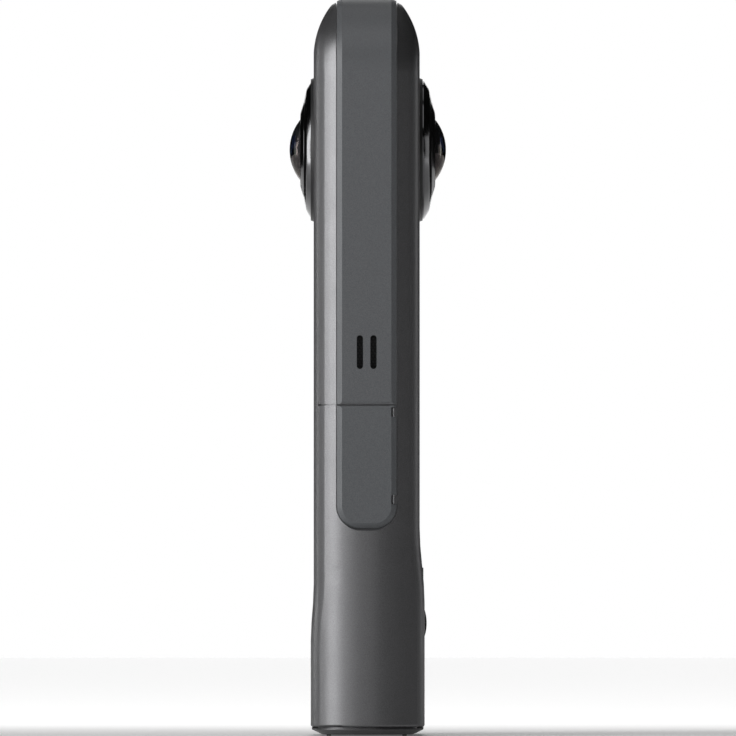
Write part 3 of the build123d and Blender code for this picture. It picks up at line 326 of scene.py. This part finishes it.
# Each finish: its maker and what the maker takes after the name
FINISH_RECIPES = {
    "casing_paint": (painted, (0.16, 0.16, 0.165), 0.37, 0.75, 0.15),
    "base_paint": (painted, (0.085, 0.085, 0.088), 0.3, 0.8, 0.15),
    "trim_paint": (painted, (0.118, 0.123, 0.13), 0.44, 0.15, 0.1),
    "cover_plastic": (painted, (0.115, 0.121, 0.128), 0.46, 0.15, 0.08),
    "black_plastic": (moulded, (0.018, 0.018, 0.02), 0.5, 0.3 * MM),
    "lens_black": (moulded, (0.016, 0.016, 0.018), 0.35, 0.3 * MM, 2 * MICRON),
    "lens_ring_black": (turned_black, (0.12, 0.12, 0.125), 0.13),
    "collar_black": (moulded, (0.014, 0.014, 0.015), 0.45, 0.3 * MM, 2 * MICRON),
    "lens_glass": (clear_glass, (0.86, 0.88, 0.9), 110),
    "pupil_glass": (clear_glass, (0.5, 0.42, 0.62), 260),
    "baffle_black": (moulded, (0.008, 0.008, 0.009), 0.6, 0.2 * MM, 2 * MICRON),
    "display_glass": (dark_glass, (0.008, 0.008, 0.01)),
    "screen_glass": (screen_glass, (0.012, 0.013, 0.017)),
    "lamp_plastic": (moulded, (0.55, 0.57, 0.6), 0.3, 0.2 * MM, 1 * MICRON),
    "button_metal": (metal, (0.3, 0.305, 0.32), 0.33, (1, 8, 8)),
    "cast_alloy": (metal, (0.55, 0.56, 0.57), 0.5, (1, 1, 1), 0.6 * MM, 12 * MICRON),
    "steel": (metal, (0.6, 0.61, 0.62), 0.3),
    "brass": (metal, (0.72, 0.55, 0.28), 0.3),
    "copper": (metal, (0.85, 0.5, 0.33), 0.35),
    "soft_rubber": (moulded, (0.025, 0.025, 0.025), 0.75, 0.2 * MM),
    "circuit_board": (moulded, (0.01, 0.06, 0.035), 0.4, 0.8 * MM, 10 * MICRON),
    "battery_wrap": (moulded, (0.05, 0.05, 0.055), 0.3, 2 * MM, 20 * MICRON),
}
finishes = {name: make(name, *values) for name, (make, *values) in FINISH_RECIPES.items()}

# Nodes that the photo shows in another finish than their CAD slot's
OTHER_FINISHES = {
    "base_plate": "base_paint",
    "front_lens_collar": "collar_black",
    "rear_lens_collar": "collar_black",
    "shutter_bezel": "collar_black",
}
for name, node in nodes.items():
    for slot in node.material_slots:
        finish = OTHER_FINISHES.get(name, slot.material.name.split(".")[0])
        slot.material = finishes[finish]

# Meshes: closer points are merged, and edges over the angle in degrees stay sharp
MERGE_DISTANCE = 0.5 * MICRON
SHARP_ANGLE = 35
CORNER_STEPS = 6


def add_object(name, data):
    """Links a new object to the scene."""
    item = bpy.data.objects.new(name, data)
    bpy.context.scene.collection.objects.link(item)
    return item


def add_piece(name, mesh, body, slot, finish, *replaced):
    """Adds a mesh as a piece of a body with its finish, and hides the nodes it stands for; the slot
    is not used.
    """
    piece = add_object(name, mesh)
    mesh.materials.append(finishes[finish])
    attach(piece, body)
    if replaced:
        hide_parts(*replaced)


def finished_mesh(name, shape, sharp=SHARP_ANGLE):
    """Turns a bmesh into a smooth-shaded mesh with sharp edges."""
    bmesh.ops.remove_doubles(shape, verts=shape.verts, dist=MERGE_DISTANCE)
    bmesh.ops.recalc_face_normals(shape, faces=shape.faces)
    mesh = bpy.data.meshes.new(name)
    shape.to_mesh(mesh)
    shape.free()
    mesh.shade_smooth()
    mesh.set_sharp_from_angle(angle=math.radians(sharp))
    return mesh


def rounded(points):
    """A chain of (radius, level, reach) points, each inner corner rounded over its reach."""
    chain = []
    for index, (radius, level, reach) in enumerate(points):
        here = Vector((radius, level))
        if not reach:
            chain.append(here)
            continue
        start = here + (Vector(points[index - 1][:2]) - here).normalized() * reach
        end = here + (Vector(points[index + 1][:2]) - here).normalized() * reach
        for step in range(CORNER_STEPS + 1):
            share = step / CORNER_STEPS
            chain.append(start.lerp(here, share).lerp(here.lerp(end, share), share))
    return chain


def turned(name, profile, place, segments=144, lobes=None):
    """Mesh of a profile of (radius, level) points turned round its axis.

    lobes gives points of the profile a radius with six waves.
    """
    waves = lobes or {}
    shape = bmesh.new()
    rings = []
    for index, (radius, level) in enumerate(profile):
        ring = []
        for count in range(1 if radius == 0 else segments):
            angle = math.tau * count / segments
            reach = radius * (1 + waves.get(index, 0) * math.cos(6 * angle))
            spot = (reach * math.cos(angle), reach * math.sin(angle), level)
            ring.append(shape.verts.new(spot))
        rings.append(ring)
    pairs = list(zip(rings, rings[1:]))
    if len(rings[0]) > 1:
        pairs.append((rings[-1], rings[0]))
    for near, far in pairs:
        for count in range(segments):
            corners = []
            for ring in (near, far):
                corners.append([ring[count % len(ring)], ring[(count + 1) % len(ring)]])
            loop = corners[0] + corners[1][::-1]
            loop = [vert for position, vert in enumerate(loop) if vert not in loop[:position]]
            if len(loop) > 2:
                shape.faces.new(loop)
    bmesh.ops.transform(shape, matrix=place, verts=shape.verts)
    return finished_mesh(name, shape)


def cap_level(top, sphere_radius, radius):
    """Level of a spherical cap at a radius from its axis."""
    return top - sphere_radius + math.sqrt(sphere_radius**2 - radius**2)


# Lens ring: a conical facet, a groove and a raised brow round the mouth
RING_RADIUS = 12.8 * MM
SPIGOT_RADIUS = 12.3 * MM
SPIGOT_DEPTH = 1.0 * MM
SPIGOT_BORE_EXTRA = 0.8 * MM
RING_WALL = 2.1 * MM
RING_WALL_ROUND = 0.15 * MM
CONE_RADIUS = 11.2 * MM
CONE_DROP = 1.12 * MM
CONE_ROUND = 0.3 * MM
STEP_RADIUS = 9.0 * MM
STEP_DROP = 0.643 * MM
STEP_OUTER_DROP = 0.03 * MM
STEP_INNER_RISE = 0.02 * MM
STEP_ROUND = 0.05 * MM
STEP_GROOVE = 0.16 * MM
BROW_RADIUS = 6.85 * MM
BROW_ROUND = 0.3 * MM
MOUTH_RADIUS = 5.95 * MM
MOUTH_DEPTH = 0.2 * MM
MOUTH_EDGE = 0.2 * MM
MOUTH_ROUND = 0.08 * MM
BED_RADIUS = 7.6 * MM
BED_DEPTH = 1.55 * MM

# Lens dome, the black backing with its stepped funnel, and the pupil at the funnel's foot
DOME_RADIUS = 9.0 * MM
DOME_RIM_RADIUS = 7.4 * MM
DOME_RIM_DEPTH = 0.8 * MM
DOME_STEPS = 32
BACKING_DEPTH = 0.7 * MM
BACKING_RADIUS = 6.6 * MM
BACKING_LIFT = 0.1 * MM
BACKING_STEPS = 24
BACKING_SEGMENTS = 96
FUNNEL_RADIUS = 3.6 * MM
FUNNEL_FOOT = 2.5 * MM
FUNNEL_DROP = 3.7 * MM
FUNNEL_FLOOR = 0.2 * MM
FUNNEL_STEPS = 5
PUPIL_RISE = 0.6 * MM
PUPIL_THICKNESS = 0.1 * MM
PUPIL_STEPS = 12
PUPIL_SEGMENTS = 72


def ring_profile(mouth):
    """Profile of the lens ring from its seat on the casing to the level of its mouth."""
    step = mouth - STEP_DROP
    return rounded([
        (BED_RADIUS + SPIGOT_BORE_EXTRA, seat_level - SPIGOT_DEPTH, 0),
        (SPIGOT_RADIUS, seat_level - SPIGOT_DEPTH, 0),
        (SPIGOT_RADIUS, seat_level, 0),
        (RING_RADIUS, seat_level, 0),
        (RING_RADIUS, mouth - RING_WALL, RING_WALL_ROUND),
        (CONE_RADIUS, mouth - CONE_DROP, CONE_ROUND),
        (STEP_RADIUS + STEP_GROOVE, step - STEP_OUTER_DROP, 0),
        (STEP_RADIUS + STEP_GROOVE / 2, step - STEP_GROOVE, 0),
        (STEP_RADIUS - STEP_GROOVE / 2, step - STEP_GROOVE, 0),
        (STEP_RADIUS - STEP_GROOVE, step + STEP_INNER_RISE, STEP_ROUND),
        (BROW_RADIUS, mouth, BROW_ROUND),
        (MOUTH_RADIUS + MOUTH_EDGE, mouth, MOUTH_ROUND),
        (MOUTH_RADIUS, mouth - MOUTH_DEPTH, 0),
        (BED_RADIUS, mouth - BED_DEPTH, 0),
        (BED_RADIUS, seat_level, 0),
    ])


def dome_profile(top, base):
    """Profile of the glass dome from its top to its flat base."""
    profile = []
    for count in range(DOME_STEPS + 1):
        radius = DOME_RIM_RADIUS * math.sin(QUARTER * count / DOME_STEPS)
        profile.append((radius, cap_level(top, DOME_RADIUS, radius)))
    return profile + [(DOME_RIM_RADIUS, base), (0, base)]


def backing_profile(top, base, foot):
    """Profile of the backing: parallel to the dome, then stepped down to the funnel's foot."""
    floor = foot - FUNNEL_FLOOR
    profile = [(0, base), (BACKING_RADIUS, base)]
    for count in range(BACKING_STEPS + 1):
        radius = BACKING_RADIUS + (FUNNEL_RADIUS - BACKING_RADIUS) * count / BACKING_STEPS
        profile.append((radius, cap_level(top, DOME_RADIUS - BACKING_DEPTH, radius)))
    lip = profile[-1][1]
    for count in range(1, FUNNEL_STEPS + 1):
        share = count / FUNNEL_STEPS
        level = lip + (foot - lip) * share
        profile.append((profile[-1][0], level))
        profile.append((FUNNEL_RADIUS + (FUNNEL_FOOT - FUNNEL_RADIUS) * share, level))
    return profile + [(FUNNEL_FOOT, floor), (0, floor)]


def pupil_profile(foot):
    """Profile of the small curved pupil on the funnel's foot."""
    sphere = (FUNNEL_FOOT**2 + PUPIL_RISE**2) / (2 * PUPIL_RISE)
    profile = []
    for count in range(PUPIL_STEPS + 1):
        radius = FUNNEL_FOOT * count / PUPIL_STEPS
        profile.append((radius, cap_level(foot + PUPIL_RISE, sphere, radius)))
    return profile + [(FUNNEL_FOOT, foot - PUPIL_THICKNESS), (0, foot - PUPIL_THICKNESS)]


def outer_level(name, facing):
    """How far a node reaches from the middle of the camera along the way its lens faces."""
    low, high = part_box(name)
    return high.y if facing > 0 else -low.y


for end, facing in (("front", -1), ("rear", 1)):
    turn = Matrix.Rotation(-QUARTER * facing, 4, "X")
    place = Matrix.Translation((0, 0, lens_z)) @ turn
    ring = f"{end}_lens_ring"
    dome = f"{end}_lens_dome"
    top = outer_level(dome, facing)
    base = cap_level(top, DOME_RADIUS, DOME_RIM_RADIUS) - DOME_RIM_DEPTH
    foot = top - FUNNEL_DROP

    mesh = turned(f"{end}_turned_ring", ring_profile(outer_level(ring, facing)), place)
    add_piece(f"{end}_turned_ring", mesh, "casing", "lens_black", "lens_ring_black", ring)

    mesh = turned(f"{end}_dome_glass", dome_profile(top, base), place)
    add_piece(f"{end}_dome_glass", mesh, "casing", "lens_glass", "lens_glass", dome)

    profile = backing_profile(top - BACKING_DEPTH, base + BACKING_LIFT, foot)
    mesh = turned(f"{end}_dome_backing", profile, place, BACKING_SEGMENTS)
    add_piece(f"{end}_dome_backing", mesh, "casing", "lens_black", "baffle_black")

    mesh = turned(f"{end}_pupil", pupil_profile(foot), place, PUPIL_SEGMENTS)
    add_piece(f"{end}_pupil", mesh, "casing", "lens_glass", "pupil_glass")

# Display: cover glass with a rounded edge, printed border and the active area behind it
GLASS_CORNER = 3.0 * MM
GLASS_EDGE = 0.25 * MM
GLASS_EDGE_STEPS = 6
GLASS_SHARP_ANGLE = 60
PLATE_CORNER_STEPS = 8
BORDER = 1.9 * MM
ACTIVE_CORNER = 1.4 * MM


def plate_loop(shape, centre, half_width, half_height, corner, level):
    """Vertices of a rounded rectangle in a plane across Y."""
    loop = []
    for turn, (side, rise) in enumerate(((1, 1), (-1, 1), (-1, -1), (1, -1))):
        for step in range(PLATE_CORNER_STEPS + 1):
            angle = QUARTER * (turn + step / PLATE_CORNER_STEPS)
            across = centre.x + side * (half_width - corner) + corner * math.cos(angle)
            up = centre.z + rise * (half_height - corner) + corner * math.sin(angle)
            loop.append(shape.verts.new((across, level, up)))
    return loop


def bridge(shape, near, far):
    """Faces between two loops of equal count."""
    count = len(near)
    for index in range(count):
        after = (index + 1) % count
        shape.faces.new((near[index], near[after], far[after], far[index]))


glass_low, glass_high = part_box("display_glass")
centre = (glass_low + glass_high) / 2
half_width = (glass_high.x - glass_low.x) / 2
half_height = (glass_high.z - glass_low.z) / 2
shape = bmesh.new()
loops = [plate_loop(shape, centre, half_width, half_height, GLASS_CORNER, glass_high.y)]
for step in range(GLASS_EDGE_STEPS + 1):
    angle = QUARTER * step / GLASS_EDGE_STEPS
    inset = GLASS_EDGE * (1 - math.cos(angle))
    level = glass_low.y + GLASS_EDGE * (1 - math.sin(angle))
    sizes = (half_width - inset, half_height - inset, GLASS_CORNER - inset)
    loops.append(plate_loop(shape, centre, *sizes, level))
active = (half_width - BORDER, half_height - BORDER, ACTIVE_CORNER)
loops.append(plate_loop(shape, centre, *active, glass_low.y))
for near, far in zip(loops, loops[1:]):
    bridge(shape, near, far)
shape.faces.new(loops[0][::-1])
screen = shape.faces.new(loops[-1])
screen.material_index = 1
mesh = finished_mesh("display_cover", shape, GLASS_SHARP_ANGLE)
add_piece("display_cover", mesh, "casing", "display_glass", "display_glass", "display_glass")
mesh.materials.append(finishes["screen_glass"])

# Shutter button: a dished, lathe-turned cap on its flange
BUTTON_RADIUS = 4.5 * MM
BUTTON_EDGE = 0.3 * MM
BUTTON_CHAMFER_IN = 0.1 * MM
BUTTON_CHAMFER_DROP = 0.08 * MM
BUTTON_SEGMENTS = 96
FLANGE_RADIUS = 4.95 * MM
FLANGE_THICKNESS = 0.6 * MM
DISH_RADIUS = 3.5 * MM
DISH_DEPTH = 0.25 * MM
DISH_STEPS = 14
button_low, button_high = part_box("shutter_button")
button_z = (button_low.z + button_high.z) / 2
face = -button_low.y
back = -button_high.y
profile = [
    (0, back),
    (FLANGE_RADIUS, back),
    (FLANGE_RADIUS, back + FLANGE_THICKNESS),
    (BUTTON_RADIUS, back + FLANGE_THICKNESS),
    (BUTTON_RADIUS, face - BUTTON_EDGE),
    (BUTTON_RADIUS - BUTTON_CHAMFER_IN, face - BUTTON_CHAMFER_DROP),
    (BUTTON_RADIUS - BUTTON_EDGE, face),
]
for count in range(DISH_STEPS, -1, -1):
    share = count / DISH_STEPS
    profile.append((DISH_RADIUS * share, face - DISH_DEPTH * math.cos(QUARTER * share)))
place = Matrix.Translation((0, 0, button_z)) @ Matrix.Rotation(QUARTER, 4, "X")
mesh = turned("shutter_cap", profile, place, BUTTON_SEGMENTS)
add_piece("shutter_cap", mesh, "shutter_key", "button_metal", "button_metal", "shutter_button")

# Base screws with a six-lobed recess, whose heads reach the corners of their node's box
SCREW_HEAD = 1.7 * MM
SCREW_HEAD_ROUND = (0.2 * MM, 0.15 * MM)
SCREW_SHANK = 0.8 * MM
SCREW_SEGMENTS = 72
HEAD_HEIGHT = 0.6 * MM
RECESS_RADIUS = 0.72 * MM
RECESS_DEPTH = 0.42 * MM
RECESS_CHAMFER = (0.08 * MM, 0.05 * MM)
RECESS_LOBES = 0.16
screws_low, screws_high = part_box("base_screws")
span_x = (screws_high.x - screws_low.x) / 2 - SCREW_HEAD
span_y = (screws_high.y - screws_low.y) / 2 - SCREW_HEAD
foot = screws_low.z
profile = [
    (0, foot + RECESS_DEPTH),
    (RECESS_RADIUS, foot + RECESS_DEPTH),
    (RECESS_RADIUS, foot + RECESS_CHAMFER[1]),
    (RECESS_RADIUS + RECESS_CHAMFER[0], foot),
    (SCREW_HEAD - SCREW_HEAD_ROUND[0], foot),
    (SCREW_HEAD, foot + SCREW_HEAD_ROUND[1]),
    (SCREW_HEAD, foot + HEAD_HEIGHT),
    (SCREW_SHANK, foot + HEAD_HEIGHT),
    (SCREW_SHANK, screws_high.z),
    (0, screws_high.z),
]
lobes = {1: RECESS_LOBES, 2: RECESS_LOBES, 3: RECESS_LOBES}
for count, (side, end) in enumerate(((-1, -1), (1, -1), (-1, 1), (1, 1)), start=1):
    place = Matrix.Translation((side * span_x, end * span_y, 0))
    mesh = turned(f"base_screw_{count}", profile, place, SCREW_SEGMENTS, lobes)
    add_piece(f"base_screw_{count}", mesh, "casing", "steel", "steel", "base_screws")

# Tripod bush
BUSH_RADIUS = 4.3 * MM
BUSH_FLANGE_RADIUS = 6.0 * MM
BUSH_FLANGE = 1.2 * MM
BUSH_CHAMFER = 0.2 * MM
BUSH_SEGMENTS = 96
THREAD_MINOR = 2.55 * MM
THREAD_MAJOR = 3.1 * MM
THREAD_PITCH = 1.27 * MM
THREAD_DEPTH = 6.0 * MM
THREAD_LEAD = 0.5 * MM
bush_low, bush_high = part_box("tripod_bush")
profile = [
    (THREAD_MAJOR + THREAD_LEAD / 2, bush_low.z),
    (BUSH_FLANGE_RADIUS - BUSH_CHAMFER, bush_low.z),
    (BUSH_FLANGE_RADIUS, bush_low.z + BUSH_CHAMFER),
    (BUSH_FLANGE_RADIUS, bush_low.z + BUSH_FLANGE),
    (BUSH_RADIUS, bush_low.z + BUSH_FLANGE),
    (BUSH_RADIUS, bush_high.z),
    (0, bush_high.z),
    (0, bush_low.z + THREAD_DEPTH),
    (THREAD_MAJOR, bush_low.z + THREAD_DEPTH),
    (THREAD_MAJOR, bush_low.z + THREAD_LEAD),
]
mesh = turned("tripod_bush_body", profile, Matrix(), BUSH_SEGMENTS)
add_piece("tripod_bush_body", mesh, "casing", "steel", "steel", "tripod_bush")

# Inch thread in the bush: rows of points that rise by one pitch each turn
THREAD_ROWS = 8
THREAD_SEGMENTS = 72
THREAD_SHARP_ANGLE = 25
thread_length = THREAD_DEPTH - THREAD_LEAD
last = THREAD_SEGMENTS - 1
shape = bmesh.new()
rows = []
for row in range(int(thread_length / THREAD_PITCH * THREAD_ROWS) + THREAD_ROWS + 1):
    crest = 1 - abs((row % THREAD_ROWS) / (THREAD_ROWS / 2) - 1)
    radius = THREAD_MAJOR + (THREAD_MINOR - THREAD_MAJOR) * crest
    ring = []
    for count in range(THREAD_SEGMENTS):
        share = count / THREAD_SEGMENTS
        lift = THREAD_PITCH * (row / THREAD_ROWS - 1 + share)
        level = min(max(lift, 0), thread_length) + bush_low.z + THREAD_LEAD
        angle = math.tau * share
        spot = (radius * math.cos(angle), radius * math.sin(angle), level)
        ring.append(shape.verts.new(spot))
    rows.append(ring)
for row, (near, far) in enumerate(zip(rows, rows[1:])):
    for count in range(last):
        shape.faces.new((near[count], near[count + 1], far[count + 1], far[count]))
    above = row + THREAD_ROWS
    if above + 1 < len(rows):
        shape.faces.new((near[last], rows[above][0], rows[above + 1][0], far[last]))
bmesh.ops.dissolve_degenerate(shape, dist=MICRON, edges=shape.edges)
mesh = finished_mesh("tripod_thread", shape, THREAD_SHARP_ANGLE)
add_piece("tripod_thread", mesh, "casing", "steel", "steel")

# Gold contacts on both faces of the socket's tongue
CONTACT_COUNT = 12
CONTACT_PITCH = 0.5 * MM
CONTACT_WIDTH = 0.26 * MM
CONTACT_LENGTH = 2.9 * MM
CONTACT_PROUD = 0.03 * MM
TONGUE_HALF = 0.35 * MM
TONGUE_START = 1.6 * MM
usb_low, usb_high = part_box("usb_socket")
usb_centre = (usb_low + usb_high) / 2
tip = usb_low.x + TONGUE_START
shape = bmesh.new()
for side in (-1, 1):
    level = usb_centre.y + side * TONGUE_HALF
    for count in range(CONTACT_COUNT):
        up = usb_centre.z + CONTACT_PITCH * (count - (CONTACT_COUNT - 1) / 2)
        outline = [
            (tip, up - CONTACT_WIDTH / 4),
            (tip + CONTACT_WIDTH, up - CONTACT_WIDTH / 2),
            (tip + CONTACT_LENGTH, up - CONTACT_WIDTH / 2),
            (tip + CONTACT_LENGTH, up + CONTACT_WIDTH / 2),
            (tip + CONTACT_WIDTH, up + CONTACT_WIDTH / 2),
            (tip, up + CONTACT_WIDTH / 4),
        ]
        inner = [shape.verts.new((x, level - side * CONTACT_PROUD, z)) for x, z in outline]
        outer = [shape.verts.new((x, level + side * CONTACT_PROUD, z)) for x, z in outline]
        shape.faces.new(inner)
        shape.faces.new(outer[::-1])
        bridge(shape, inner, outer)
mesh = finished_mesh("usb_contacts", shape)
add_piece("usb_contacts", mesh, "casing", "brass", "brass")

# Speaker sheet behind the slots: hexagonal cells, each with a hexagonal hole
HOLE_PITCH = 0.62 * MM
HOLE_SHARE = 0.72
CELL_MERGE = 0.01 * MM


def hexagon(shape, level, centre_y, centre_z, size):
    """Vertices of a hexagon in a plane across X."""
    corners = []
    for count in range(6):
        angle = math.radians(30 + 60 * count)
        spot = (level, centre_y + size * math.cos(angle), centre_z + size * math.sin(angle))
        corners.append(shape.verts.new(spot))
    return corners


low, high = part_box("speaker_mesh")
row_step = HOLE_PITCH * math.sqrt(3) / 2
reach = HOLE_PITCH / math.sqrt(3)
row_count = int((high.z - low.z) / row_step)
column_count = int((high.y - low.y) / HOLE_PITCH)
shape = bmesh.new()
for row in range(row_count):
    centre_z = low.z + row_step * (row + 0.5)
    for column in range(column_count - row % 2):
        centre_y = low.y + HOLE_PITCH * (column + 0.5 + 0.5 * (row % 2))
        outer = hexagon(shape, low.x, centre_y, centre_z, reach)
        inner = hexagon(shape, low.x, centre_y, centre_z, reach * HOLE_SHARE)
        bridge(shape, outer, inner)
bmesh.ops.remove_doubles(shape, verts=shape.verts, dist=CELL_MERGE)

# Its back and the walls of its rims, in the same order each run
thickness = Vector((high.x - low.x, 0, 0))
cells = [list(face.verts) for face in shape.faces]
rims = [list(edge.verts) for edge in shape.edges if edge.is_boundary]
behind = {vert: shape.verts.new(vert.co + thickness) for vert in list(shape.verts)}
for cell in cells:
    shape.faces.new([behind[vert] for vert in cell])
for one, other in rims:
    shape.faces.new((one, other, behind[other], behind[one]))
mesh = finished_mesh("speaker_sheet", shape)
add_piece("speaker_sheet", mesh, "casing", "base_black", "baffle_black", "speaker_mesh")

# Light panels, aimed at the object. Each has its turn in degrees from the camera's side
# towards the rear, its distance and height, its width and height, and its radiance
PANEL_AIM = Vector((0.0, 0.0, 0.07))
PANELS = {
    "key_panel": (58, 0.9, 0.12, (0.34, 1.2), 6.4),
    "wrap_panel": (34, 1.1, 0.12, (0.6, 1.0), 1.2),
    "camera_side_panel": (0, 1.3, 0.2, (0.7, 0.8), 0.5),
    "rear_left_panel": (108, 1.1, 0.12, (0.5, 1.0), 0.4),
    "rear_streak_panel": (116, 1.0, 0.108, (0.09, 0.5), 4.6),
    "front_rim_panel": (-122, 1.0, 0.06, (0.3, 0.34), 0.7),
    "overhead_panel": (0, 0.5, 0.95, (0.9, 0.8), 0.75),
    "top_panel": (180, 0.35, 1.1, (0.9, 0.7), 0.5),
}
for name, (turn, distance, height, size, radiance) in PANELS.items():
    data = bpy.data.lights.new(name, "AREA")
    data.shape = "RECTANGLE"
    data.size, data.size_y = size
    data.energy = radiance * size[0] * size[1] * math.pi
    panel = add_object(name, data)
    angle = math.radians(turn)
    panel.location = (-distance * math.cos(angle), distance * math.sin(angle), height)
    panel.rotation_euler = (PANEL_AIM - panel.location).to_track_quat("-Z", "Y").to_euler()
    panel.visible_camera = False


def add_stage(name, shape, material):
    """Adds a bmesh as a part of the studio."""
    mesh = bpy.data.meshes.new(name)
    shape.to_mesh(mesh)
    shape.free()
    mesh.materials.append(material)
    item = add_object(name, mesh)
    item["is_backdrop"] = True
    return item


# Dark tent all round, open behind the object; it shows only in reflections
TENT_RADIUS = 3.0
TENT_SEGMENTS = 72
TENT_RINGS = 36
TENT_OPENING = math.radians(9)
TENT_OPENING_TOP = math.radians(38)
tent_cloth = moulded("tent_cloth", (0.02, 0.02, 0.02), 0.9, 10 * MM, 100 * MICRON)
shape = bmesh.new()
bmesh.ops.create_uvsphere(
    shape, u_segments=TENT_SEGMENTS, v_segments=TENT_RINGS, radius=TENT_RADIUS
)
openings = []
for face in shape.faces:
    way = face.calc_center_median()
    turn = math.atan2(way.y, way.x)
    rise = math.asin(way.z / way.length)
    if abs(turn) < TENT_OPENING and rise < TENT_OPENING_TOP:
        openings.append(face)
bmesh.ops.delete(shape, geom=openings, context="FACES")
tent = add_stage("tent", shape, tent_cloth)
tent.visible_camera = False

# Pale floor
FLOOR_RADIUS = 1.6
FLOOR_SEGMENTS = 96
FLOOR_COLOUR = (0.86, 0.86, 0.86)
shape = bmesh.new()
bmesh.ops.create_circle(shape, cap_ends=True, segments=FLOOR_SEGMENTS, radius=FLOOR_RADIUS)
floor = add_stage("floor", shape, light_table("floor_sheet", FLOOR_COLOUR))
floor.location.z = cad_low.z

# White wall far behind
world = bpy.data.worlds.new("white_wall")
world.use_nodes = True
wall = world.node_tree.nodes["Background"]
wall.inputs["Color"].default_value = WHITE
wall.inputs["Strength"].default_value = 1.0
bpy.context.scene.world = world
bpy.context.scene.view_settings.view_transform = "Standard"

# Camera: level with the middle of the photograph, far off on the -X side
CAMERA_DISTANCE = 6.0
SENSOR_WIDTH = 36.0
PICTURE_SPAN = 0.1363
PICTURE_Y = -0.00024
PICTURE_Z = 0.06796
camera_data = bpy.data.cameras.new("camera")
camera_data.sensor_width = SENSOR_WIDTH
camera_data.lens = SENSOR_WIDTH * CAMERA_DISTANCE / PICTURE_SPAN
camera = add_object("camera", camera_data)
camera.location = (-CAMERA_DISTANCE, PICTURE_Y, PICTURE_Z)
camera.rotation_euler = (QUARTER, 0, -QUARTER)
bpy.context.scene.camera = camera

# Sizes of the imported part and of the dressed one
visual_low, visual_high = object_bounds()
sizes = {
    "cad_low": list(cad_low),
    "cad_high": list(cad_high),
    "visual_low": list(visual_low),
    "visual_high": list(visual_high),
}
